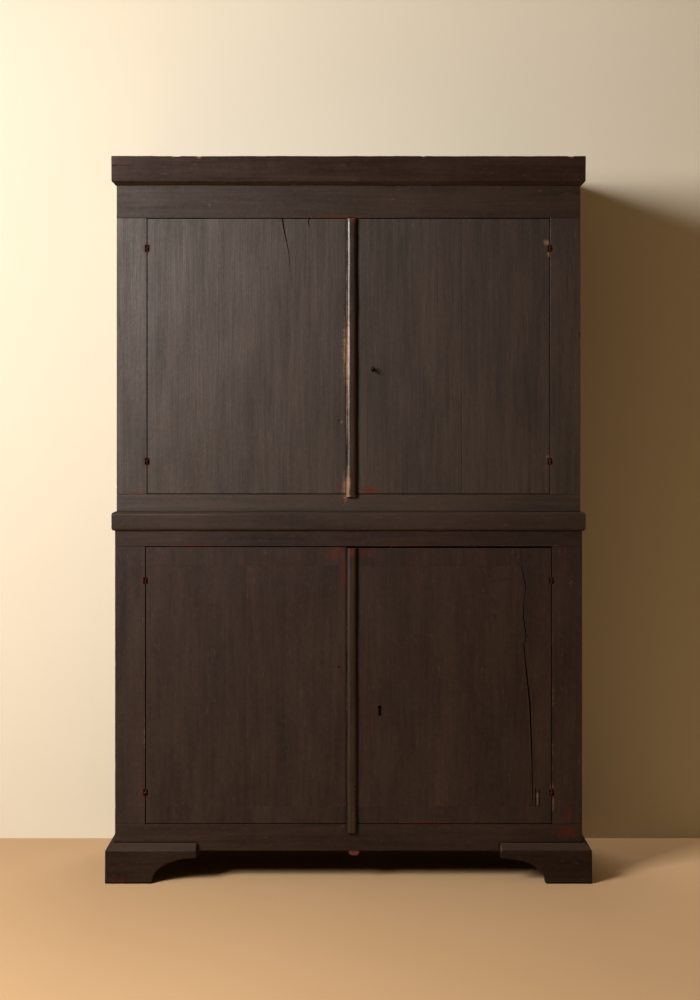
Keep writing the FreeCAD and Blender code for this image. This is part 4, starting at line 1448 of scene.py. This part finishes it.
@dataclass
class Mouldings:
    """The rounded waist moulding and the flat cornice, mitred at the front corners."""

    palette: Palette
    waist_round_mm: float = 8.0
    waist_depth_mm: float = 9.0
    waist_lip_mm: float = 3.5
    dust_board_mm: float = 20.0
    cornice_splay_mm: float = 10.0
    arris_mm: float = 1.4
    step_mm: float = 22.0
    hollows_mm: tuple[tuple[float, float], ...] = ((0.45, 70.0), (0.3, 18.0))
    # place and half width of each chip on the cornice's upper edge, and how deep and tall half of one is
    chips_mm: tuple[tuple[float, float], ...] = ((-474.0, 14.0), (-412.0, 10.0), (205.0, 9.0), (612.0, 10.0))
    chip_depth_mm: float = 9.0
    chip_height_mm: float = 6.0
    split_mm: Trail = (
        (-652.0, 1974.0, 1.6),
        (-635.0, 1975.0, 1.4),
        (-618.0, 1974.4, 0.9),
        (-600.0, 1975.2, 0.3),
    )
    split_depth_mm: float = 5.0

    def build(self) -> None:
        """Makes, places and dresses both mouldings."""
        for run in Run:
            node = run.word + "_front"
            low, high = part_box(node)
            front = lay(self.mould(run, high.x - low.x, high.z - low.z, True), low)
            if run is Run.CORNICE:
                carve(front, self.chips(low.y, high.z))
            self.finish(front, run.value, Grain.ACROSS, node)
            for hand in Hand:
                node = f"{run.word}_{hand.word}"
                low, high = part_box(node)
                side = self.mould(run, high.y - low.y, high.z - low.z, False)
                outer = max(abs(low.x), abs(high.x))
                lay(side, (outer, low.y, low.z), math.pi / 2, hand is Hand.LEFT)
                self.finish(side, run.value, Grain.DEEP, node)

    def mould(self, run: Run, length: float, height: float, both: bool) -> Piece:
        """Makes a length of moulding at the origin, its outer face on the plane of X and Z.

        Args:
            run: Which moulding it is.
            length: Its length at the outer face, in metres.
            height: Its height, in metres.
            both: Whether both ends are mitred, or only the first.

        Returns:
            The moulding, worn.
        """
        if run is Run.CORNICE:
            low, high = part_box("cornice_front")
            piece = block("cornice", (0, 0, 0), (length, high.y - low.y, height))
            bevel(piece, 0, {1: 0.0, 2: 0.0}, self.cornice_splay_mm, segments=1)
        else:
            piece = block("waist", (0, 0, 0), (length, self.waist_depth_mm * MM, height))
            bevel(piece, 0, {1: 0.0}, self.waist_round_mm, segments=5)
            shelf = self.dust_board_mm * MM
            shave(piece, (0, 0, shelf), (0, 0, 1), keep=True)
            choose(piece, Element.FACE, lambda normal, middle: normal.y > FACING and middle.z > shelf)
            lip = {"value": (0, self.waist_lip_mm * MM, 0)}
            bpy.ops.mesh.extrude_region_move(TRANSFORM_OT_translate=lip)
            leave_edit()
        shave(piece, (0, 0, 0), (-1, 1, 0))
        if both:
            shave(piece, (length, 0, 0), (1, 1, 0))
        divide(piece, 0, self.step_mm * MM)
        soften(piece, self.arris_mm, segments=2)
        wander(piece, *self.hollows_mm)
        return piece

    def chips(self, front: float, top: float) -> list[Piece]:
        """Makes the tools for the knocks on the cornice's upper edge and the split at its left end.

        Args:
            front: The Y of the cornice's face.
            top: The Z of its upper edge.

        Returns:
            The tools.
        """
        deep, tall = self.chip_depth_mm * MM, self.chip_height_mm * MM
        tools = [pebble("chip", (x * MM, front, top), (half * MM, deep, tall)) for x, half in self.chips_mm]
        return [*tools, crack(self.split_mm, front, self.split_depth_mm, lying=True)]

    def finish(self, piece: Piece, stage: Stage, grain: Grain, node: str) -> None:
        """Paints a moulding and sets it on the case."""
        stand_in(piece, node, "case", "painted_wood", Coat(self.palette.moulding[stage, grain]))


@dataclass
class BracketFeet:
    """Arched bracket feet with a splayed upper arris, and the peg between them."""

    palette: Palette
    thick_mm: float = 25.0
    height_mm: float = 108.0
    splay_height_mm: float = 17.0
    ledge_mm: float = 9.0
    arch_rise_mm: float = 70.0
    upright_mm: float = 8.0
    lean_mm: float = 2.0
    round_mm: float = 5.0
    weld_mm: float = 0.1
    flat_degrees: float = 1.0
    # whole length, and the length that stands on the floor
    front_mm: tuple[float, float] = (252.0, 130.0)
    side_mm: tuple[float, float] = (205.0, 112.0)
    foot_columns: int = 5
    arch_columns: int = 18
    hollows_mm: tuple[tuple[float, float], ...] = ((0.5, 60.0), (0.3, 16.0))
    # faces beyond this X are on side brackets, and what share of a normal makes a face an inner one
    side_m: float = 0.64
    inner_share: float = 0.9
    side_inner_share: float = 0.6
    peg_round_mm: float = 9.0
    peg_arris_mm: float = 1.2
    peg_hollow_mm: tuple[float, float] = (0.25, 12.0)

    def build(self) -> None:
        """Makes, places and dresses the brackets and the peg."""
        for hand in Hand:
            right = hand is Hand.RIGHT
            front = lay(self.bracket(self.front_mm, True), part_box("front_bracket_left")[0], 0.0, right)
            self.finish(front, Grain.ACROSS, f"front_bracket_{hand.word}")
            low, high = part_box("side_bracket_front_right")
            side = lay(self.bracket(self.side_mm, True), (high.x, low.y, 0.0), math.pi / 2, not right)
            self.finish(side, Grain.DEEP, f"side_bracket_front_{hand.word}")
            low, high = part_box("side_bracket_rear_left")
            rear = lay(self.bracket(self.side_mm, False), (low.x, high.y, 0.0), -math.pi / 2, right)
            self.finish(rear, Grain.DEEP, f"side_bracket_rear_{hand.word}")
        self.peg()

    def outline(self, sizes_mm: tuple[float, float]) -> list[tuple[float, float]]:
        """Works out a bracket's lower edge: a straight foot and a quarter of an ellipse.

        Args:
            sizes_mm: The bracket's length, and the length that stands on the floor.

        Returns:
            X and Z of the points from the corner to the tip, in millimetres.
        """
        length, base = sizes_mm
        span, rise = length - base, self.arch_rise_mm - self.upright_mm
        steps = [math.pi / 2 * i / self.arch_columns for i in range(self.arch_columns + 1)]
        foot = [((base - self.lean_mm) * i / self.foot_columns, 0.0) for i in range(self.foot_columns + 1)]
        arch = [(length - span * math.cos(s), self.upright_mm + rise * math.sin(s)) for s in steps]
        return foot + arch

    def bracket(self, sizes_mm: tuple[float, float], mitred: bool) -> Piece:
        """Makes one bracket at the origin, its corner at zero and its face on the plane of X and Z.

        Args:
            sizes_mm: Its length, and the length that stands on the floor.
            mitred: Whether its corner end is mitred.

        Returns:
            The bracket.
        """
        columns = self.outline(sizes_mm)
        bare_bench()
        bpy.ops.mesh.primitive_grid_add(
            x_subdivisions=len(columns) - 1, y_subdivisions=1, size=1, rotation=(math.pi / 2, 0, 0)
        )
        piece = new_piece("bracket")
        starts = sorted({round(corner.co.x, 5) for corner in piece.data.vertices})
        for start, (x, z) in zip(starts, columns, strict=True):
            for row, level in ((-0.5, z), (0.5, self.height_mm)):
                choose(piece, Element.CORNER, lambda place: alike(place.x, start) and alike(place.z, row))
                bpy.ops.transform.translate(value=(x * MM - start, 0, level * MM - row + ASIDE))
        choose_all(piece)
        bpy.ops.transform.translate(value=(0, 0, -ASIDE))
        bpy.ops.mesh.extrude_region_move(TRANSFORM_OT_translate={"value": (0, self.thick_mm * MM, 0)})
        bpy.ops.mesh.select_all(action="SELECT")
        bpy.ops.mesh.dissolve_limited(angle_limit=math.radians(self.flat_degrees))
        turn_outwards(piece)
        slope = (0, -self.splay_height_mm, self.thick_mm - self.ledge_mm)
        shave(piece, (0, 0, (self.height_mm - self.splay_height_mm) * MM), slope)
        soften(piece, self.round_mm, segments=4)
        finish_modifier(piece, "WELD", merge_threshold=self.weld_mm * MM)
        if mitred:
            shave(piece, (0, 0, 0), (-1, 1, 0))
        wander(piece, *self.hollows_mm)
        return piece

    def finish(self, piece: Piece, grain: Grain, node: str) -> None:
        """Paints a bracket and sets it on the case."""
        # faces that look in under the case get the dark finish: grime and painted shade
        soiled = Coat(self.palette.soiled, self.inner)
        stand_in(piece, node, "case", "painted_wood", Coat(self.palette.feet[grain]), soiled)

    def inner(self, normal: Vector, middle: Vector) -> bool:
        """Whether a face of a bracket looks in under the case.

        Args:
            normal: The face's normal.
            middle: The face's middle, in metres.

        Returns:
            Whether it does.
        """
        if abs(middle.x) < self.side_m:
            return normal.y > self.inner_share
        return normal.x * middle.x < -self.side_inner_share

    def peg(self) -> None:
        """Makes the red wooden tab under the bottom rail."""
        low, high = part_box("bottom_peg")
        piece = block("peg", low, high)
        bevel(piece, 1, {2: low.z}, self.peg_round_mm, segments=6)
        soften(piece, self.peg_arris_mm, segments=2)
        wander(piece, self.peg_hollow_mm)
        stand_in(piece, "bottom_peg", "case", "red_wood", Coat(self.palette.red_wood))


@dataclass
class Door:
    """One flush door: its boards, its clamps or ledges, and the strip on a right door's closing edge."""

    palette: Palette
    frame: FrontFrame
    stage: Stage
    hand: Hand
    # how far the joint of its two boards is from the hinges, at the top and at the foot
    joint_mm: tuple[float, float]
    joint_gap_mm: float = 0.1
    arris_mm: float = 0.35
    clamp_top_mm: float = 50.0
    clamp_foot_mm: float = 46.0
    splits_mm: tuple[Trail, ...] = ()
    split_depth_mm: float = 13.0
    # X, Z and radius of each worm or nail hole, and where its tool starts and ends from the face
    holes_mm: tuple[tuple[float, float, float], ...] = ()
    hole_reach_mm: tuple[float, float] = (-5.0, 7.0)
    # X and Z of the keyhole, and the width of its slot and how far below it starts and ends
    keyhole_mm: tuple[float, float] | None = None
    keyhole_radius_mm: float = 5.5
    key_slot_mm: tuple[float, float, float] = (7.0, 1.0, 23.0)
    overcut_mm: float = 3.0
    ledge_mm: float = 62.0
    ledge_splay_mm: float = 6.0
    ledge_nail_radius_mm: float = 2.4
    ledge_nail_thick_mm: float = 1.6
    ledge_nail_round_mm: float = 0.5
    ledge_nail_rows_mm: tuple[float, float] = (18.0, 44.0)
    ledge_nail_shares: tuple[float, ...] = (0.08, 0.29, 0.5, 0.71, 0.92)
    strip_round_mm: float = 10.5
    strip_step_mm: float = 14.0
    strip_arris_mm: float = 1.2
    strip_hollows_mm: tuple[tuple[float, float], ...] = ((0.5, 90.0), (0.3, 20.0))
    # levels of the notches on the strip's right shoulder, their half sizes, and how far in they are
    notches_mm: tuple[float, ...] = ()
    notch_mm: tuple[float, float, float] = (6.0, 2.4, 1.8)
    notch_inset_mm: tuple[float, float] = (5.0, 2.0)

    @property
    def body(self) -> str:
        """The body that the door moves as."""
        return f"{self.stage.word}_{self.hand.word}_door"

    @property
    def clamped(self) -> bool:
        """Whether the door has clamped ends."""
        return self.stage is Stage.LOWER

    def build(self, axes: dict[str, Vector]) -> None:
        """Makes and dresses the door.

        Args:
            axes: The hinge axis of each door, by joint name.
        """
        axis = axes[self.body + "_hinge"]
        node = self.body + "_boards"
        low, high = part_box(node)
        if self.clamped:
            clamp_low, clamp_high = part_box(self.body + "_clamps")
            low.z = clamp_low.z + self.clamp_foot_mm * MM
            high.z = clamp_high.z - self.clamp_top_mm * MM
        hinge_edge = low.x if self.hand is Hand.LEFT else high.x
        joints = [hinge_edge - self.hand.value * joint * MM for joint in self.joint_mm]
        boards = [self.board(low, high, joints, hinged) for hinged in (True, False)]
        tools = self.frame.recesses(self.stage, axis) + self.marks(low.y, high.y)
        piece = joined(boards)
        carve(piece, tools)
        self.finish(piece, Grain.UPRIGHT, node)
        if self.clamped:
            self.clamps()
        else:
            self.ledges()
        if self.hand is Hand.RIGHT:
            self.strip()

    def board(self, low: Vector, high: Vector, joints: Sequence[float], hinged: bool) -> Piece:
        """Makes one upright board of the door, its jointed edge leaning as the joint does.

        Args:
            low: The door's lowest corner.
            high: The door's highest corner.
            joints: X of the joint at the top and at the foot.
            hinged: Whether it is the board at the hinges.

        Returns:
            The board.
        """
        gap = self.joint_gap_mm * MM
        on_left = hinged == (self.hand is Hand.LEFT)
        start, end = Vector(low), Vector(high)
        middle = sum(joints) / 2
        if on_left:
            end.x = middle - gap
        else:
            start.x = middle + gap
        piece = block("board", start, end)
        edge = end.x if on_left else start.x
        for level, joint in ((end.z, joints[0]), (start.z, joints[1])):
            choose(piece, Element.CORNER, lambda place: alike(place.x, edge) and alike(place.z, level))
            bpy.ops.transform.translate(value=(joint - middle, 0, 0))
        leave_edit()
        return Board(start, end, arris_mm=self.arris_mm, flush=True).plane(piece)

    def marks(self, front: float, back: float) -> list[Piece]:
        """Makes the tools for the door's splits, holes and keyhole.

        Args:
            front: The Y of the door's face.
            back: The Y of its back.

        Returns:
            The tools.
        """
        tools = [crack(trail, front, self.split_depth_mm) for trail in self.splits_mm]
        start, end = (front + reach * MM for reach in self.hole_reach_mm)
        for x, z, radius in self.holes_mm:
            middle = (x * MM, (start + end) / 2, z * MM)
            tools.append(rod("hole", middle, 1, radius * MM, end - start, sides=10))
        if self.keyhole_mm:
            x, z = (measure * MM for measure in self.keyhole_mm)
            start, end = front - self.overcut_mm * MM, back + self.overcut_mm * MM
            middle = (x, (start + end) / 2, z)
            tools.append(rod("keyhole", middle, 1, self.keyhole_radius_mm * MM, end - start, sides=28))
            if self.clamped:
                wide, head, foot = (size * MM for size in self.key_slot_mm)
                corners = (x - wide / 2, start, z - foot), (x + wide / 2, end, z - head)
                tools.append(block("key_slot", *corners))
        return tools

    def clamps(self) -> None:
        """Makes the cross-grained ends of a lower door."""
        node = self.body + "_clamps"
        low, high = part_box(node)
        ends = []
        for foot, head in (
            (low.z, low.z + self.clamp_foot_mm * MM),
            (high.z - self.clamp_top_mm * MM, high.z),
        ):
            start, end = Vector((low.x, low.y, foot)), Vector((high.x, high.y, head))
            ends.append(Board(start, end, arris_mm=self.arris_mm, flush=True).cut())
        self.finish(joined(ends), Grain.ACROSS, node)

    def ledges(self) -> None:
        """Makes the battens across the back of an upper door, with their nails."""
        node = self.body + "_ledges"
        low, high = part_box(node)
        tall = self.ledge_mm * MM
        sizes = (self.ledge_nail_radius_mm * MM, self.ledge_nail_thick_mm * MM)
        bars, nails = [], []
        for foot in (low.z, high.z - tall):
            start, end = Vector((low.x, low.y, foot)), Vector((high.x, high.y, foot + tall))
            bar = block("ledge", start, end)
            bevel(bar, 0, {1: high.y}, self.ledge_splay_mm, segments=1)
            bars.append(Board(start, end, arris_mm=1.0, sway_mm=0.4, step_mm=30).plane(bar))
            for share in self.ledge_nail_shares:
                x = low.x + (high.x - low.x) * share
                for rise in self.ledge_nail_rows_mm:
                    nails.append(rod("nail", (x, high.y, foot + rise * MM), 1, *sizes, sides=8))
        stand_in(joined(bars), node, self.body, "bare_wood", Coat(self.palette.bare[Grain.ACROSS]))
        heads = joined(nails)
        soften(heads, self.ledge_nail_round_mm, segments=2)
        settle(heads, self.body + "_ledge_nails", self.body, "iron", Coat(self.palette.rusty_iron))

    def strip(self) -> None:
        """Makes the rounded strip planted over the gap between the doors."""
        node = f"{self.stage.word}_closing_strip"
        low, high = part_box(node)
        piece = block("strip", low, high)
        bevel(piece, 2, {1: low.y}, self.strip_round_mm, segments=8)
        divide(piece, 2, self.strip_step_mm * MM)
        soften(piece, self.strip_arris_mm, segments=2)
        wander(piece, *self.strip_hollows_mm)
        sizes = [size * MM for size in self.notch_mm]
        aside, behind = (inset * MM for inset in self.notch_inset_mm)
        shoulder = (high.x - aside, low.y + behind)
        carve(piece, [pebble("notch", (*shoulder, level * MM), sizes) for level in self.notches_mm])
        stand_in(piece, node, self.body, "painted_wood", Coat(self.palette.strip[self.stage]))

    def finish(self, piece: Piece, grain: Grain, node: str) -> None:
        """Paints a door piece with upright strokes, leaves its back bare and hangs it.

        Args:
            piece: The piece.
            grain: The way its fibres run.
            node: The frame's piece that it stands for.
        """
        paint = Coat(self.palette.paints[self.stage, Grain.UPRIGHT])
        bare = Coat(self.palette.bare[grain], faces_back)
        stand_in(piece, node, self.body, "painted_wood", paint, bare)


@dataclass
class Ironwork:
    """The loop hinges, locks, key and bolts, and the blocks and cleats, which keep the frame's own shape."""

    palette: Palette
    forged: tuple[str, ...] = ("lock_case", "lock_bolt", "bolt_guide", "slide_bolt")

    def build(self, nodes: dict[str, Piece]) -> None:
        """Dresses the frame's pieces whose shape is right.

        Args:
            nodes: The frame's pieces by name.
        """
        finishes = {
            "frame_hinge_eyes": self.palette.rusty_iron,
            "upper_key": self.palette.dark_iron,
            "shelf_cleats": self.palette.bare[Grain.DEEP],
            # the corner blocks under the case get the dark finish: grime and painted shade
            "foot_corner_blocks": self.palette.soiled,
        }
        for stage in Stage:
            for hand in Hand:
                finishes[f"{stage.word}_{hand.word}_door_staples"] = self.palette.rusty_iron
            for kind in self.forged:
                finishes[f"{stage.word}_{kind}"] = self.palette.iron
        for name, finish in finishes.items():
            for place in nodes[name].material_slots:
                place.material = finish
            LOG.info("%s: dressed", name)


@dataclass
class Studio:
    """A plain pale floor and wall, a soft light from the left and the camera."""

    lens_mm: float = 65.6
    shift: tuple[float, float] = (0.0, -0.077)
    eye_m: tuple[float, float, float] = (0.004, -5.252, 1.265)
    light_m: tuple[float, float, float] = (-2.35, -2.85, 2.40)
    light_aim_m: tuple[float, float, float] = (0.0, -0.2, 1.05)
    light_size_m: float = 1.3
    light_watts: float = 190.0
    light_colour: str = "#fff4ec"
    rear_light_m: tuple[float, float, float] = (0.0, 1.9, 4.4)
    rear_light_watts: float = 55.0
    ground_m: float = 40.0
    wall_m: float = 0.30
    # each with the shade that it varies to
    floor_colours: tuple[str, str] = ("#d9b88c", "#cfae84")
    wall_colours: tuple[str, str] = ("#e2dfce", "#dbd7c4")
    air: str = "#ffcf92"
    air_strength: float = 0.19
    # the glow starts and is full where a direction rises this much
    air_rise: tuple[float, float] = (0.22, 0.65)

    def build(self) -> None:
        """Sets up the floor, the wall, the light, the air and the camera."""
        self.surface("studio_floor", 0.0, 0.0, Distemper("pale_floor", *self.floor_colours))
        wash = Distemper("cream_wall", *self.wall_colours, one_sided=True)
        wall = self.surface("studio_wall", self.wall_m, math.pi / 2, wash)
        wall.visible_shadow = False
        wall.visible_diffuse = False
        wall.visible_glossy = False
        self.light("soft_light", self.light_m, self.light_watts)
        self.light("rear_light", self.rear_light_m, self.rear_light_watts)
        self.camera()
        self.glow()

    def surface(self, name: str, back: float, turn: float, wash: Distemper) -> Piece:
        """Sets up a wide plain surface.

        Args:
            name: Its name.
            back: How far behind the middle it is, in metres.
            turn: Its turn about X, in radians.
            wash: Its finish.

        Returns:
            The surface.
        """
        bare_bench()
        bpy.ops.mesh.primitive_plane_add(size=self.ground_m, location=(0, back, 0), rotation=(turn, 0, 0))
        piece = new_piece(name)
        piece.data.materials.append(wash.make())
        return piece

    def light(self, name: str, place: Place, watts: float) -> None:
        """Hangs a soft square light that looks at the cupboard.

        Args:
            name: Its name.
            place: Where it hangs, in metres.
            watts: Its power.
        """
        bare_bench()
        bpy.ops.object.light_add(type="AREA", location=place)
        lamp = bpy.context.active_object
        lamp.name = name
        aim = Vector(self.light_aim_m) - Vector(place)
        lamp.rotation_euler = aim.to_track_quat("-Z", "Y").to_euler()
        lamp.data.shape = "SQUARE"
        lamp.data.size = self.light_size_m
        lamp.data.energy = watts
        lamp.data.color = linear(self.light_colour)[:3]

    def camera(self) -> None:
        """Sets a level camera in front of the cupboard."""
        bare_bench()
        bpy.ops.object.camera_add(location=self.eye_m, rotation=(math.pi / 2, 0, 0))
        eye = bpy.context.active_object
        eye.name = "studio_camera"
        eye.data.lens = self.lens_mm
        eye.data.shift_x, eye.data.shift_y = self.shift
        bpy.context.scene.camera = eye

    def glow(self) -> None:
        """Gives the air a warm glow from overhead, and none from low down."""
        scene = bpy.context.scene
        scene.view_settings.view_transform = "Standard"
        scene.world = bpy.data.worlds.new("studio_air")
        scene.world.use_nodes = True
        tree = scene.world.node_tree
        towards = add(tree, "ShaderNodeTexCoord").outputs["Generated"]
        height = add(tree, "ShaderNodeSeparateXYZ", {0: towards}).outputs["Z"]
        start, full = self.air_rise
        rise = {0: height, 1: start, 2: full, 3: 0.0, 4: self.air_strength}
        backdrop = tree.nodes["Background"]
        backdrop.inputs["Color"].default_value = linear(self.air)
        tree.links.new(add(tree, "ShaderNodeMapRange", rise).outputs[0], backdrop.inputs["Strength"])


def doors(palette: Palette, frame: FrontFrame) -> list[Door]:
    """Lists the four doors with their own joints, splits and holes.

    Args:
        palette: The finishes.
        frame: The frame that they hang in.

    Returns:
        The doors.
    """
    long_split = (
        (-183, 1832, 4.2),
        (-178, 1798, 3.4),
        (-171, 1766, 2.6),
        (-165, 1736, 2.0),
        (-162, 1700, 1.1),
        (-160, 1648, 0.2),
    )
    short_split = ((-106, 1832, 3.4), (-112, 1822, 3.0), (-107, 1804, 1.0))
    open_joint = (
        (477, 870, 2.0),
        (489, 810, 2.2),
        (484, 782, 1.6),
        (482, 731, 2.4),
        (490, 676, 2.8),
        (483, 655, 2.0),
        (491, 575, 3.8),
        (500, 492, 4.2),
        (505, 364, 3.4),
        (508, 207, 1.4),
    )
    patch_lines = (
        ((515, 258, 2.0), (516, 230, 2.6), (515, 206, 2.2)),
        ((527, 254, 1.6), (527, 230, 2.2), (526, 206, 2.2)),
    )
    details = {
        (Stage.UPPER, Hand.LEFT): {
            "joint_mm": (197, 197),
            "splits_mm": (long_split, short_split),
            "holes_mm": ((-26.7, 1273, 2.2), (-340, 1590, 1.2)),
        },
        (Stage.UPPER, Hand.RIGHT): {"joint_mm": (243, 243), "joint_gap_mm": 0.5, "keyhole_mm": (67, 1413)},
        (Stage.LOWER, Hand.LEFT): {"joint_mm": (275, 275), "holes_mm": ((-26.7, 592, 2.4),)},
        (Stage.LOWER, Hand.RIGHT): {
            "joint_mm": (83, 53),
            "splits_mm": (open_joint, *patch_lines),
            "keyhole_mm": (86, 481),
            "notches_mm": (187, 199, 211, 224, 237, 250, 264),
        },
    }
    return [Door(palette, frame, *place, **own) for place, own in details.items()]


def main() -> None:
    """Builds the cupboard's looks round its frame."""
    logging.basicConfig(level=logging.INFO, format="%(name)s %(message)s")
    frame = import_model()
    palette = Palette()
    hinges = [joint for joint in frame["joints"] if joint["type"] == "hinge"]
    axes = {joint["name"]: Vector(joint["pos_m"]) for joint in hinges}
    Carcase(palette).build()
    front = FrontFrame(palette)
    front.build(axes)
    Mouldings(palette).build()
    BracketFeet(palette).build()
    for door in doors(palette, front):
        door.build(axes)
    Ironwork(palette).build(frame["nodes"])
    Studio().build()


if __name__ == "__main__":
    main()
